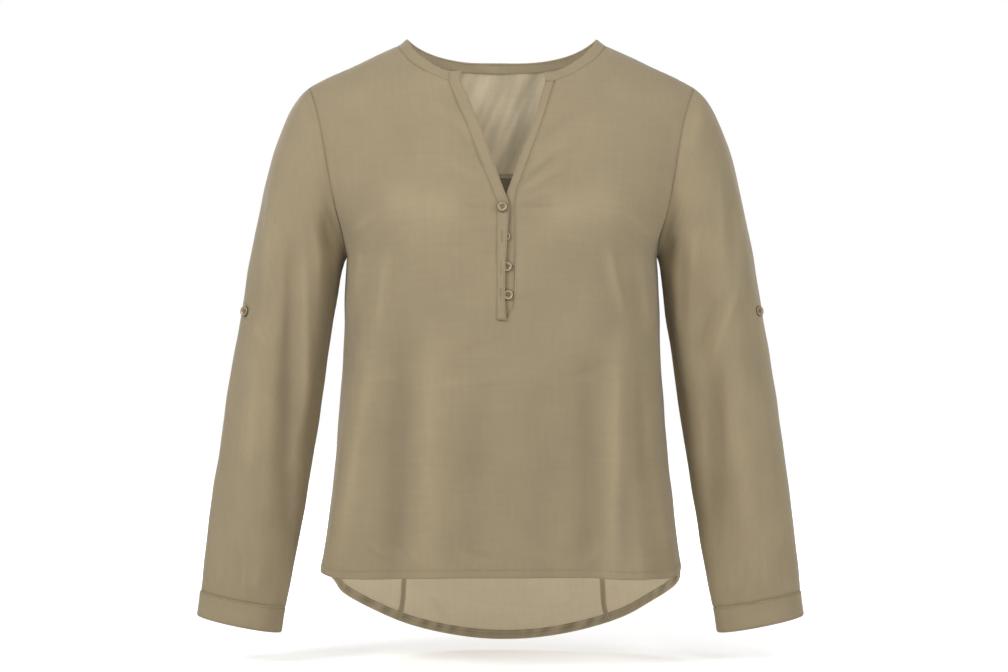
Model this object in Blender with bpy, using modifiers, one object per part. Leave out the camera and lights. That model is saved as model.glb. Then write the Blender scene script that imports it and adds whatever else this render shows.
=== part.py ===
"""Women's pull-on blouse with a buttoned half placket, hollow as worn, with no wearer.

Metres, +Z up. The front of the blouse faces -Y and the wearer's left is +X. The origin is where
the wearer's shoulders carry it: midway between the neck ends of the two shoulder seams.

Every cloth piece is an open surface through rows of points on the garment's form, given its
thickness by Solidify. The form is one body, drawn as rings that are rounder than a box and fuller
than an ellipse, and two sleeves lofted from the armholes to the cuffs.
"""

import math

import bmesh
import bpy
import numpy as np
from mathutils import Matrix, Vector

COLLECTION = "half_placket_blouse"

# Cloth and sewing
CLOTH = 0.0012          # one layer of cloth
DOUBLED = 0.0016        # neckband, plackets, cuffs and tabs, which are folded cloth
SEAM_GAP = 0.0003       # between two pieces at a seam
HALF_GAP = 0.75 * SEAM_GAP  # how far each piece stops short of its seam line

FRONT, BACK = -1.0, 1.0
RIGHT, LEFT = -1.0, 1.0     # the wearer's sides

# Body
ROUNDNESS = 2.3         # exponent of the body's rings: 2 is an ellipse
ARMPIT_Z = -0.231
QUARTER_ARC = 0.235     # cloth along a quarter of a body ring
NECK_X = 0.115          # neck end of the shoulder seam
NECK_BACK_Z = -0.024    # neck seam at the centre back
YOKE_Z = -0.137         # seam under the back yoke
HEM_SIDE_Z = -0.573
TAIL_DROP = 0.0905      # how far the back hem hangs below the side seams
TAIL_CURVE_RIGHT, TAIL_CURVE_LEFT = 0.67, 0.57  # lower is fuller

# Rings of the body below the armpit, from the tail up
BODY_RINGS = (
    # height, half width, front depth, back depth
    (-0.680, 0.2000, 0.1170, 0.1120),
    (-0.573, 0.1970, 0.1180, 0.1100),
    (-0.541, 0.1925, 0.1190, 0.1085),
    (-0.488, 0.1865, 0.1210, 0.1060),
    (-0.435, 0.1812, 0.1235, 0.1040),
    (-0.382, 0.1768, 0.1260, 0.1020),
    (-0.328, 0.1735, 0.1280, 0.1010),
    (-0.275, 0.1720, 0.1290, 0.1020),
    (-0.231, 0.1700, 0.1280, 0.1040),
)
# Above the armpit, by share of the way up to the shoulder seam
CHEST_RINGS = (
    # share, half width of the ring, where the armhole cuts it
    (0.000, 0.1700, 0.1700),
    (0.097, 0.1763, 0.1720),
    (0.224, 0.1906, 0.1785),
    (0.411, 0.2075, 0.1855),
    (0.640, 0.2254, 0.1935),
    (0.820, 0.2360, 0.2010),
    (1.000, 0.2450, 0.2110),
)
CHEST_FULLNESS = 1.7    # how roundly the front rises to the shoulder: 2 is round
BACK_FULLNESS = 1.9
SHOULDER_LINE = (
    # x, height
    (0.000, 0.0200),
    (0.060, 0.0165),
    (0.115, 0.0000),
    (0.140, -0.0107),
    (0.165, -0.0222),
    (0.190, -0.0338),
    (0.211, -0.0450),
)
FRONT_HEM = (
    # share of the half width, height
    (0.00, -0.5745),
    (0.50, -0.5755),
    (0.80, -0.5790),
    (0.93, -0.5785),
    (1.00, -0.5730),
)
FRONT_NECKLINE = (
    # x, height
    (0.0575, -0.0445),
    (0.0680, -0.0400),
    (0.0794, -0.0344),
    (0.0993, -0.0204),
    (0.1090, -0.0100),
    (0.1150, 0.0000),
)
NECK_CURVE = 2.6        # exponent of the back neckline

# The opening at the centre front, from its foot up to the neckband
OPENING = (
    # height, sewn edge and free edge of the upper placket, free edge and seam of the under placket
    (-0.2980, -0.0055, 0.0046, 0.0000, 0.0060),
    (-0.2870, -0.0055, 0.0038, -0.0010, 0.0122),
    (-0.2640, -0.0055, 0.0034, -0.0010, 0.0138),
    (-0.2400, -0.0055, 0.0042, -0.0010, 0.0142),
    (-0.2130, -0.0055, 0.0060, -0.0010, 0.0142),
    (-0.1900, -0.0055, 0.0074, -0.0010, 0.0140),
    (-0.1760, -0.0052, 0.0068, 0.0012, 0.0140),
    (-0.1634, -0.0104, 0.0022, 0.0063, 0.0164),
    (-0.1294, -0.0236, -0.0103, 0.0189, 0.0290),
    (-0.0860, -0.0404, -0.0264, 0.0350, 0.0444),
    (-0.0445, -0.0575, -0.0440, 0.0463, 0.0575),
)
SLIT_FOOT_Z = OPENING[0][0]
V_TOP_Z = OPENING[-1][0]
LAP = 0.0030            # how far each placket and the front lie over each other where they are sewn
UPPER_LIFT = 0.0019     # outer face of the upper placket above the front
BUTTON_ROOM = 0.0008    # the upper placket's extra lift where buttons lie under it
UNDER_SINK = 0.0018     # outer face of the under placket below the front's
V_ZONE = (-0.167, -0.144)   # over these heights the plackets part

# Seams beside the centre back
PRINCESS_X = ((-0.680, 0.1190), (-0.137, 0.0880))   # height, x

# Soft folds of the hanging body. Around it, 0 is the centre front, 1 the left side seam, 2 the
# centre back and -1 the right side seam.
BODY_FOLDS = (
    # place at the top, place at the bottom, top height, bottom height, width, height out
    (-0.54, -0.82, -0.190, -0.575, 0.020, 0.0050),
    (-0.43, -0.50, -0.280, -0.575, 0.026, -0.0055),
    (-0.22, -0.27, -0.330, -0.600, 0.032, 0.0035),
    (0.00, 0.02, -0.350, -0.600, 0.038, -0.0030),
    (0.24, 0.29, -0.320, -0.600, 0.026, -0.0048),
    (0.42, 0.47, -0.280, -0.600, 0.026, 0.0045),
    (0.50, 0.74, -0.190, -0.575, 0.018, 0.0042),
    (0.60, 0.63, -0.330, -0.575, 0.018, -0.0034),
    (1.26, 1.20, -0.250, -0.620, 0.026, 0.0050),
    (1.45, 1.42, -0.280, -0.640, 0.024, -0.0050),
    (1.66, 1.64, -0.240, -0.660, 0.028, 0.0045),
    (1.92, 1.94, -0.300, -0.670, 0.034, -0.0042),
    (-1.88, -1.84, -0.240, -0.670, 0.030, 0.0038),
    (-1.62, -1.60, -0.260, -0.650, 0.026, -0.0052),
    (-1.40, -1.36, -0.230, -0.630, 0.026, 0.0048),
    (-1.22, -1.20, -0.300, -0.610, 0.022, -0.0036),
)
FOLD_GROWTH = 1.6       # a fold of the body is whole after 1 / 1.6 of its length


# Sleeve: each row is one ring, from just below the armhole to the cuff seam
SLEEVE_RINGS = (
    # outer x, outer z, inner x, inner z, front depth, back depth, shift forward
    (0.2225, -0.0560, 0.1708, -0.2318, 0.0600, 0.0515, 0.000),
    (0.2350, -0.0765, 0.1716, -0.2330, 0.0610, 0.0530, 0.000),
    (0.2480, -0.1090, 0.1732, -0.2372, 0.0610, 0.0545, 0.000),
    (0.2582, -0.1450, 0.1752, -0.2440, 0.0600, 0.0555, 0.000),
    (0.2680, -0.1900, 0.1780, -0.2570, 0.0580, 0.0555, 0.001),
    (0.2772, -0.2400, 0.1822, -0.2830, 0.0555, 0.0545, 0.002),
    (0.2855, -0.2904, 0.1872, -0.3180, 0.0530, 0.0530, 0.003),
    (0.2965, -0.3540, 0.1952, -0.3720, 0.0505, 0.0505, 0.006),
    (0.3065, -0.4207, 0.2043, -0.4366, 0.0480, 0.0480, 0.010),
    (0.3170, -0.4941, 0.2168, -0.5100, 0.0445, 0.0440, 0.015),
    (0.3245, -0.5545, 0.2276, -0.5714, 0.0405, 0.0400, 0.019),
    (0.3287, -0.5950, 0.2368, -0.6134, 0.0370, 0.0370, 0.021),
)
CUFF_RINGS = (
    (0.3292, -0.5953, 0.2366, -0.6139, 0.0368, 0.0368, 0.021),
    (0.3310, -0.6089, 0.2384, -0.6277, 0.0362, 0.0362, 0.022),
    (0.3328, -0.6224, 0.2402, -0.6413, 0.0356, 0.0356, 0.023),
)
LEFT_SLEEVE_IN = (
    # ring, how much closer to the body the left sleeve's outer and inner sides hang
    (0, 0.0000, 0.0000),
    (4, 0.0000, 0.0008),
    (6, 0.0000, 0.0030),
    (9, 0.0008, 0.0045),
    (12, 0.0030, 0.0055),
    (14, 0.0030, 0.0055),
)
SLEEVE_RADIUS = 0.050   # on the average, for the width of its folds
# Soft folds of each sleeve. Around it, 0 is the outer side, 90 the front and 180 the underarm.
SLEEVE_FOLDS = {
    RIGHT: (
        # turn at the start, turn at the end, start ring, end ring, width, height out
        (44, 60, 1.5, 8.0, 0.013, 0.0034),
        (88, 132, 4.0, 11.5, 0.016, -0.0062),
        (118, 146, 3.0, 8.5, 0.013, 0.0034),
        (62, 84, 7.0, 12.0, 0.018, 0.0036),
        (152, 160, 4.0, 10.0, 0.012, -0.0034),
        (236, 222, 3.5, 11.5, 0.016, -0.0052),
        (272, 262, 3.0, 11.0, 0.015, 0.0044),
        (318, 300, 5.0, 11.5, 0.015, -0.0036),
    ),
    LEFT: (
        (30, 40, 2.0, 8.0, 0.011, 0.0026),
        (62, 72, 2.5, 9.0, 0.015, 0.0036),
        (104, 122, 3.5, 11.5, 0.016, -0.0062),
        (86, 98, 7.0, 12.0, 0.016, 0.0032),
        (132, 150, 3.0, 9.0, 0.013, 0.0036),
        (158, 164, 4.5, 10.5, 0.012, -0.0034),
        (228, 240, 3.5, 11.0, 0.016, -0.0050),
        (276, 268, 3.0, 11.0, 0.015, 0.0042),
        (314, 304, 5.0, 11.5, 0.014, -0.0034),
    ),
}
TAB_RING, TAB_TURN = 6.98, 31.0     # where the roll-up tab and its button are sewn to the sleeve
TAB_HEAD = 0.12                     # rings that the tab reaches above its stitches
TAB_HALF_TURN = 9.0                 # half the tab's width, round the sleeve
TAB_END_RING = 9.1
TAB_POINT = 0.2                     # rings over which the tab's end narrows
TAB_END_WIDTH = 0.45                # of its width elsewhere
TAB_GAP = 0.0007                    # from the sleeve's inner face, whose flats stand in a little

# Neckband
BAND_HEIGHT = 0.014
BAND_LEAN = ((0.0, 52.0), (0.30, 38.0), (0.5, 52.0))  # share of the way round, degrees above level

# Buttons
BUTTON_RADIUS = 0.00575
BUTTON_THICK = 0.0020
BUTTON_HOLE = 0.0007
BUTTON_HOLE_SPREAD = 0.00125
BUTTON_SEAT = 0.0003    # shank of thread under a button
FRONT_BUTTONS = (
    # x, height, whether it is done up, through the upper placket
    (0.0005, -0.1822, True),
    (0.0040, -0.2131, False),
    (0.0056, -0.2447, False),
    (0.0068, -0.2745, False),
)

FIT_STEPS = 10          # steps of each search for a place on the form

# Points in each piece
FRONT_COLUMNS = 13                  # on each side of the opening
BACK_CENTRE_COLUMNS, BACK_SIDE_COLUMNS = 12, 9
YOKE_NECK_COLUMNS, YOKE_SHOULDER_COLUMNS = 8, 5     # on each side of the centre back
SLEEVE_ROWS = 22
SLEEVE_TURNS = np.linspace(0, 360, 28, endpoint=False)  # degrees round a sleeve and a cuff

CLOTH_COLOUR = (0.36, 0.29, 0.185, 1.0)
BUTTON_COLOUR = (0.40, 0.29, 0.20, 1.0)


# ---------------------------------------------------------------- curves and nets

def on_rows(rows, key):
    """Every other column of a table at the given keys, on smooth curves through its rows."""
    table = np.array(rows, float)
    keys, values = table[:, 0], table[:, 1:]
    slopes = np.gradient(values, keys, axis=0)
    key = np.clip(np.asarray(key, float), keys[0], keys[-1])
    low = np.clip(np.searchsorted(keys, key, side="right") - 1, 0, len(keys) - 2)
    span = (keys[low + 1] - keys[low])[..., None]
    t = (key - keys[low])[..., None] / span
    return (
        (2 * t**3 - 3 * t**2 + 1) * values[low]
        + (t**3 - 2 * t**2 + t) * span * slopes[low]
        + (3 * t**2 - 2 * t**3) * values[low + 1]
        + (t**3 - t**2) * span * slopes[low + 1]
    )


def ease(t):
    """0 to 1 with level ends."""
    t = np.clip(t, 0.0, 1.0)
    return t * t * (3 - 2 * t)


def unit(vectors):
    """The same directions, one long."""
    return vectors / np.linalg.norm(vectors, axis=-1, keepdims=True)


def drawn_in(edge, inner, distance):
    """An edge of a net moved square to itself, in the cloth, towards the line of points beside it.

    Where the edge turns a corner it moves further, so that both of its sides stop short.
    """
    runs = unit(np.diff(edge, axis=0))
    before, after = np.concatenate([runs[:1], runs]), np.concatenate([runs, runs[-1:]])
    tangent = unit(before + after)
    corner = np.clip((before * tangent).sum(axis=-1, keepdims=True), 0.5, 1)
    towards = inner - edge
    towards = towards - (towards * tangent).sum(axis=-1, keepdims=True) * tangent
    return edge + unit(towards) * distance / corner


def with_gaps(net, sides):
    """A net whose named edges stop short of their seams."""
    net = net.copy()
    if "foot" in sides:
        net[0] = drawn_in(net[0], net[1], HALF_GAP)
    if "head" in sides:
        net[-1] = drawn_in(net[-1], net[-2], HALF_GAP)
    if "start" in sides:
        net[:, 0] = drawn_in(net[:, 0], net[:, 1], HALF_GAP)
    if "end" in sides:
        net[:, -1] = drawn_in(net[:, -1], net[:, -2], HALF_GAP)
    return net


# ---------------------------------------------------------------- the body's form

def shoulder_z(x):
    """Height of the shoulder seam, and of the form's ridge between the two, at x."""
    return on_rows(SHOULDER_LINE, np.abs(x))[..., 0]


def hem_z(half, share):
    """Height of the hem where the ring is at this share of its half width, below 0 on the right."""
    if half == FRONT:
        return on_rows(FRONT_HEM, np.abs(share))[..., 0]
    curve = np.where(share < 0, TAIL_CURVE_RIGHT, TAIL_CURVE_LEFT)
    return HEM_SIDE_Z - TAIL_DROP * np.clip(1 - share**2, 0, 1) ** curve


def fold_height(half, turn, z):
    """How far the folds of the body lift its surface at a place."""
    around = turn if half == FRONT else np.where(turn < 0, -2 - turn, 2 - turn)
    lift = np.zeros(np.broadcast(around, z).shape)
    for top, bottom, top_z, bottom_z, width, height in BODY_FOLDS:
        down = np.clip((top_z - z) / (top_z - bottom_z), 0, 1)
        centre = top + (bottom - top) * down
        away = ((around - centre + 2) % 4 - 2) * QUARTER_ARC
        lift += height * ease(down * FOLD_GROWTH) * np.exp(-((away / width) ** 2))
    return lift


def ring_point(half, turn, rise):
    """A point of the body before its folds, with the half width and depth of its ring.

    turn runs from -1, the right side seam, through 0, the centre, to 1, the left side seam.
    rise is -1 at the hem, 0 at the armpit and 1 at the shoulder seam.
    """
    turn, rise = np.broadcast_arrays(np.asarray(turn, float), np.asarray(rise, float))
    angle = np.clip(np.abs(turn), 0, 1) * math.pi / 2
    share = np.sin(angle) ** (2 / ROUNDNESS)
    hem = hem_z(half, np.sign(turn) * share)
    low_z = hem + (ARMPIT_Z - hem) * (1 + np.minimum(rise, 0))
    low_ring = on_rows(BODY_RINGS, low_z)
    climb = np.sin(np.clip(rise, 0, 1) * math.pi / 2)
    fullness = CHEST_FULLNESS if half == FRONT else BACK_FULLNESS
    armpit_ring = BODY_RINGS[-1]
    armpit_depth = armpit_ring[2] if half == FRONT else armpit_ring[3]
    high_width = on_rows(CHEST_RINGS, climb)[..., 0]
    high_depth = armpit_depth * np.clip(1 - climb**fullness, 0, 1) ** (1 / fullness)
    width = np.where(rise > 0, high_width, low_ring[..., 0])
    depth = np.where(rise > 0, high_depth, low_ring[..., 1 if half == FRONT else 2])
    x = np.sign(turn) * width * share
    y = half * depth * np.cos(angle) ** (2 / ROUNDNESS)
    high_z = ARMPIT_Z + climb * (shoulder_z(x) - ARMPIT_Z)
    return np.stack([x, y, np.where(rise > 0, high_z, low_z)], axis=-1)


def body_normal(half, turn, rise):
    """Outward direction of the body's form, from the slopes across and up it."""
    step = 0.004
    turn = np.clip(turn, -1 + step, 1 - step)
    rise = np.clip(rise, -1 + step, 1 - 2 * step)
    across = ring_point(half, turn + step, rise) - ring_point(half, turn - step, rise)
    up = ring_point(half, turn, rise + step) - ring_point(half, turn, rise - step)
    return -half * unit(np.cross(across, up))


def body_point(half, turn, rise, lift=0.0):
    """A point of the body's outer face, with its folds, moved out by lift."""
    point = ring_point(half, turn, rise)
    out = fold_height(half, np.asarray(turn, float), point[..., 2]) + lift
    return point + body_normal(half, turn, rise) * np.asarray(out)[..., None]


def turn_of(half, x, rise):
    """The turn at which the body reaches x on a row of this rise."""
    x, rise = np.broadcast_arrays(np.asarray(x, float), np.asarray(rise, float))
    turn = np.sign(x) * 0.5
    for _ in range(FIT_STEPS):
        ring = ring_point(half, turn, rise)
        angle = np.clip(np.abs(turn), 1e-4, 1) * math.pi / 2
        width = np.abs(ring[..., 0]) / np.sin(angle) ** (2 / ROUNDNESS)
        share = np.clip(np.abs(x) / np.maximum(width, 1e-6), 0, 1)
        turn = np.sign(x) * np.arcsin(share ** (ROUNDNESS / 2)) / (math.pi / 2)
    return turn


def rise_of(half, x, z):
    """The rise at which the body is at this x and height."""
    climb = (z - ARMPIT_Z) / (shoulder_z(x) - ARMPIT_Z)
    high = np.arcsin(np.clip(climb, 0, 1)) / (math.pi / 2)
    share = np.clip(np.abs(x) / on_rows(BODY_RINGS, z)[..., 0], 0, 1)
    hem = hem_z(half, share)
    low = (z - ARMPIT_Z) / (ARMPIT_Z - hem)
    return np.where(z > ARMPIT_Z, high, low)


def armhole_x(rise):
    """Where the armhole, or below it the side seam, ends a row of the body."""
    climb = np.sin(np.clip(rise, 0, 1) * math.pi / 2)
    return on_rows(CHEST_RINGS, climb)[..., 1]


def side_turn(rise):
    """The turn of a row's outer end."""
    climb = np.sin(np.clip(rise, 0, 1) * math.pi / 2)
    ring = on_rows(CHEST_RINGS, climb)
    share = np.clip(ring[..., 1] / ring[..., 0], 0, 1)
    return np.where(np.asarray(rise) > 0, np.arcsin(share ** (ROUNDNESS / 2)) / (math.pi / 2), 1.0)


def crossing_x(line, rises):
    """x at which a line of (x, height) crosses each row of the front."""
    line = np.array(line, float)
    places = np.linspace(0, len(line) - 1, 200)
    x = np.interp(places, np.arange(len(line)), line[:, 0])
    z = np.interp(places, np.arange(len(line)), line[:, 1])
    return np.interp(rises, rise_of(FRONT, x, z), x)


# ---------------------------------------------------------------- Blender objects

def new_material(name, colour, roughness):
    material = bpy.data.materials.new(name)
    material.use_nodes = True
    shader = material.node_tree.nodes["Principled BSDF"]
    shader.inputs["Base Color"].default_value = colour
    shader.inputs["Roughness"].default_value = roughness
    shader.inputs["Metallic"].default_value = 0.0
    return material


def net_mesh(name, net, round_it=False, missing=()):
    """A mesh through a net of points. A loft between unlike sections has no modelling tool."""
    rows, columns = net.shape[:2]
    mesh = bpy.data.meshes.new(name)
    made = bmesh.new()
    points = [[made.verts.new(point) for point in row] for row in net]
    for r in range(rows - 1):
        for c in range(columns if round_it else columns - 1):
            if (r, c) in missing:
                continue
            after = (c + 1) % columns
            made.faces.new((points[r][c], points[r][after], points[r + 1][after], points[r + 1][c]))
    made.to_mesh(mesh)
    made.free()
    mesh.shade_smooth()
    return mesh


def cloth_piece(name, net, thickness, material, **how):
    """A piece of cloth whose outer face is the net, with its thickness on the inside."""
    piece = bpy.data.objects.new(name, net_mesh(name, net, **how))
    piece.data.materials.append(material)
    bpy.data.collections[COLLECTION].objects.link(piece)
    wall = piece.modifiers.new("thickness", "SOLIDIFY")
    wall.thickness = thickness
    wall.offset = -1.0
    wall.use_even_offset = True
    wall.use_quality_normals = True
    return piece


# ---------------------------------------------------------------- body pieces

def front_rows():
    """Rises of the front's rows: level at the foot of the slit and at the top of the V."""
    slit_rise = float(rise_of(FRONT, np.array(0.0), np.array(SLIT_FOOT_Z)))
    v_rise = float(rise_of(FRONT, np.array(NECK_X / 2), np.array(V_TOP_Z)))
    parts = (
        np.linspace(-1, slit_rise, 12),
        np.linspace(slit_rise, 0, 5)[1:],
        np.linspace(0, v_rise, 8)[1:],
        np.linspace(v_rise, 1, 8)[1:],
    )
    return np.concatenate(parts), slit_rise, v_rise


def opening_edge(rises, v_rise, side):
    """x of one side of the front's opening, then of its neckline, on each row."""
    table = np.array(OPENING)
    edge = table[:, 1] + LAP if side == RIGHT else table[:, 4]
    edge[-1] = side * FRONT_NECKLINE[0][0]
    heights = np.linspace(SLIT_FOOT_Z, V_TOP_Z, 160)
    x = np.interp(heights, table[:, 0], edge)
    below = np.interp(rises, rise_of(FRONT, np.abs(x), heights), x)
    above = side * crossing_x(FRONT_NECKLINE, rises)
    return np.where(rises > v_rise + 1e-9, above, below)


def front_net():
    """The front's net, and the cells that its opening leaves out."""
    rises, slit_rise, v_rise = front_rows()
    outer = side_turn(rises)
    right_turn = turn_of(FRONT, opening_edge(rises, v_rise, RIGHT), rises)
    left_turn = turn_of(FRONT, opening_edge(rises, v_rise, LEFT), rises)
    steps = np.linspace(0, 1, FRONT_COLUMNS + 1)
    right = -outer[:, None] + (right_turn + outer)[:, None] * steps
    left = left_turn[:, None] + (outer - left_turn)[:, None] * steps
    right_net = body_point(FRONT, right, rises[:, None])
    left_net = body_point(FRONT, left, rises[:, None])
    slit_row = int(np.argmin(np.abs(rises - slit_rise)))
    open_rows = slice(slit_row, None)
    right_net[open_rows, -1] = drawn_in(right_net[open_rows, -1], right_net[open_rows, -2], HALF_GAP)
    left_net[open_rows, 0] = drawn_in(left_net[open_rows, 0], left_net[open_rows, 1], HALF_GAP)
    net = with_gaps(np.concatenate([right_net, left_net], axis=1), ("start", "end", "head"))
    missing = {(row, FRONT_COLUMNS) for row in range(slit_row, len(rises) - 1)}
    return net, missing


def back_armhole_x(z):
    """Where the back's armhole is at a height."""
    rise = 0.3
    for _ in range(FIT_STEPS):
        rise = float(rise_of(BACK, armhole_x(rise), np.array(z)))
    return float(armhole_x(rise))


def princess_x(z):
    """Where the seam beside the centre back is at a height."""
    heights, xs = zip(*PRINCESS_X)
    return np.interp(z, heights, xs)


def back_rows():
    """Rises at the side of the back's rows below the yoke, and their heights above the armpit."""
    low = np.linspace(-1, 0, 15)
    high = np.linspace(ARMPIT_Z, YOKE_Z, 6)[1:]
    return low, high


def back_net(first, last, columns):
    """A panel of the back below the yoke, from one bound to another.

    A bound is a function of height that gives x, or None for the side seam and armhole. The
    columns run from the wearer's left to the right, so that the faces point backwards.
    """
    low, high = back_rows()
    steps = np.linspace(0, 1, columns + 1)
    rows = []
    for rise in low:
        ends = []
        for bound, side in (first, last):
            turn = side
            if bound is not None:
                for _ in range(FIT_STEPS):
                    z = ring_point(BACK, turn, rise)[..., 2]
                    turn = float(turn_of(BACK, side * bound(z), rise))
            ends.append(turn)
        turns = ends[0] + (ends[1] - ends[0]) * steps
        rows.append(body_point(BACK, turns, rise))
    for z in high:
        ends = []
        for bound, side in (first, last):
            x = side * (back_armhole_x(z) if bound is None else bound(z))
            rise = float(rise_of(BACK, np.array(abs(x)), np.array(z)))
            ends.append(float(turn_of(BACK, x, rise)))
        turns = ends[0] + (ends[1] - ends[0]) * steps
        rise = np.full(turns.shape, 0.3)
        for _ in range(FIT_STEPS):
            rise = rise_of(BACK, np.abs(ring_point(BACK, turns, rise)[..., 0]), np.full(turns.shape, z))
        rows.append(body_point(BACK, turns, rise))
    return np.array(rows)


def neck_back_z(x):
    """Height of the back neckline at x."""
    return NECK_BACK_Z * (1 - np.clip(np.abs(x) / NECK_X, 0, 1) ** NECK_CURVE)


def yoke_top(q, neck_share):
    """x and height of the yoke's upper edge at a share of its half width."""
    along_neck = np.clip(q / neck_share, 0, 1)
    along_shoulder = np.clip((q - neck_share) / (1 - neck_share), 0, 1)
    shoulder_end = SHOULDER_LINE[-1][0]
    x = NECK_X * along_neck + (shoulder_end - NECK_X) * along_shoulder
    return x, np.where(q <= neck_share, neck_back_z(x), shoulder_z(x))


def yoke_net():
    """The yoke, from its seam up to the back neckline and the two shoulder seams."""
    half_columns = YOKE_NECK_COLUMNS + YOKE_SHOULDER_COLUMNS
    neck_share = YOKE_NECK_COLUMNS / half_columns
    rows = np.sin(np.linspace(0, 1, 8) * math.pi / 2)[:, None]
    signed = np.linspace(1, -1, 2 * half_columns + 1)[None, :]
    q = np.abs(signed)
    foot_x = back_armhole_x(YOKE_Z) * q
    head_x, head_z = yoke_top(q, neck_share)
    foot_rise = rise_of(BACK, foot_x, np.full(foot_x.shape, YOKE_Z))
    head_rise = rise_of(BACK, head_x, head_z)
    rise = foot_rise + (head_rise - foot_rise) * rows
    x = foot_x + (head_x - foot_x) * rows
    straight = foot_x[:, :1] + (head_x[:, :1] - foot_x[:, :1]) * rows
    x = x + (armhole_x(rise[:, :1]) - straight) * q**3
    turn = turn_of(BACK, np.sign(signed) * x, rise)
    return with_gaps(body_point(BACK, turn, rise), ("foot", "head", "start", "end"))


# ---------------------------------------------------------------- sleeves

def armhole_ring(side, around):
    """The armhole's edge at these turns round the sleeve, in degrees, as if on the left."""
    angle = np.radians(around)
    climb = (1 + np.cos(angle)) / 2
    rise = np.arcsin(climb) / (math.pi / 2)
    turn = side * side_turn(rise)
    front = body_point(FRONT, turn, rise)
    back = body_point(BACK, turn, rise)
    ring = np.where((np.sin(angle) >= 0)[:, None], front, back)
    return ring * np.array([side, 1.0, 1.0])


def sleeve_ring(side, number, around):
    """One ring of a sleeve or cuff, made on the left: 1 is just below the armhole."""
    outer_x, outer_z, inner_x, inner_z, front, back, forward = (SLEEVE_RINGS + CUFF_RINGS)[number - 1]
    if side == LEFT:
        outer_in, inner_in = on_rows(LEFT_SLEEVE_IN, min(number, len(SLEEVE_RINGS)))
        outer_x, inner_x = outer_x - outer_in, inner_x - inner_in
    angle = np.radians(around)
    depth = np.where(np.sin(angle) >= 0, front, back)
    out = (1 + np.cos(angle)) / 2
    x = inner_x + (outer_x - inner_x) * out
    z = inner_z + (outer_z - inner_z) * out
    return np.stack([x, -forward - depth * np.sin(angle), z], axis=-1)


def sleeve_form(side, ring, around):
    """Points of a left-hand sleeve before its folds, at ring numbers from 0, the armhole, to 12."""
    rings = [armhole_ring(side, around)]
    rings += [sleeve_ring(side, number, around) for number in range(1, len(SLEEVE_RINGS) + 1)]
    flat = [(number, *points.ravel()) for number, points in enumerate(rings)]
    return on_rows(flat, ring).reshape(len(ring), len(around), 3)


def sleeve_points(side, ring, around):
    """Points of a left-hand sleeve's outer face."""
    points = sleeve_form(side, ring, around)
    middle = sleeve_form(side, ring, SLEEVE_TURNS).mean(axis=1, keepdims=True)
    lift = np.zeros(points.shape[:2])
    for start_turn, end_turn, start, end, width, height in SLEEVE_FOLDS[side]:
        down = np.clip((ring - start) / (end - start), 0, 1)[:, None]
        centre = start_turn + (end_turn - start_turn) * down
        away = np.radians((around[None, :] - centre + 180) % 360 - 180) * SLEEVE_RADIUS
        lift += height * np.sin(down * math.pi) * np.exp(-((away / width) ** 2))
    return points + unit(points - middle) * lift[..., None]


def on_side(side, net):
    """A net made for the left, mirrored for the right with its faces still pointing out."""
    if side == LEFT:
        return net
    return net[:, ::-1] * np.array([-1.0, 1.0, 1.0])


def sleeve_net(side):
    """A sleeve from its armhole to the cuff's seam, with closer rows at the armhole."""
    ring = np.concatenate([[0, 0.5, 1, 1.5], np.linspace(2, len(SLEEVE_RINGS), SLEEVE_ROWS - 4)])
    net = sleeve_points(side, ring, SLEEVE_TURNS)
    net[0] = drawn_in_ring(net[0], net[1], 1.4 * HALF_GAP)
    net[-1] = drawn_in_ring(net[-1], net[-2], HALF_GAP)
    return on_side(side, net)


def drawn_in_ring(edge, inner, distance):
    """The same as drawn_in for an edge that closes on itself."""
    looped = drawn_in(
        np.concatenate([edge[-2:], edge, edge[:2]]),
        np.concatenate([inner[-2:], inner, inner[:2]]),
        distance,
    )
    return looped[2:-2]


def cuff_net(side):
    """A closed band cuff."""
    first = len(SLEEVE_RINGS) + 1
    net = np.array([sleeve_ring(side, first + row, SLEEVE_TURNS) for row in range(len(CUFF_RINGS))])
    net[0] = drawn_in_ring(net[0], net[1], HALF_GAP)
    return on_side(side, net)


def sleeve_normals(side, ring, around):
    """Outward directions of a left-hand sleeve's form, from its slopes along and round it."""
    along = sleeve_points(side, ring + 0.05, around) - sleeve_points(side, ring - 0.05, around)
    round_it = sleeve_points(side, ring, around + 1.0) - sleeve_points(side, ring, around - 1.0)
    return unit(np.cross(round_it, along))


def tab_net(side):
    """The roll-up tab: a strap that hangs inside the sleeve, from its stitches down to a point."""
    straight = np.linspace(TAB_RING - TAB_HEAD, TAB_END_RING - TAB_POINT, 7)
    rows = []
    for number in (*straight, TAB_END_RING):
        wide = TAB_END_WIDTH if number == TAB_END_RING else 1.0
        ring, around = np.array([number]), TAB_TURN + np.linspace(-1, 1, 5) * TAB_HALF_TURN * wide
        inward = -sleeve_normals(side, ring, around) * (CLOTH + TAB_GAP)
        rows.append((sleeve_points(side, ring, around) + inward)[0])
    return on_side(side, np.array(rows))


# ---------------------------------------------------------------- neckband and plackets

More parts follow.
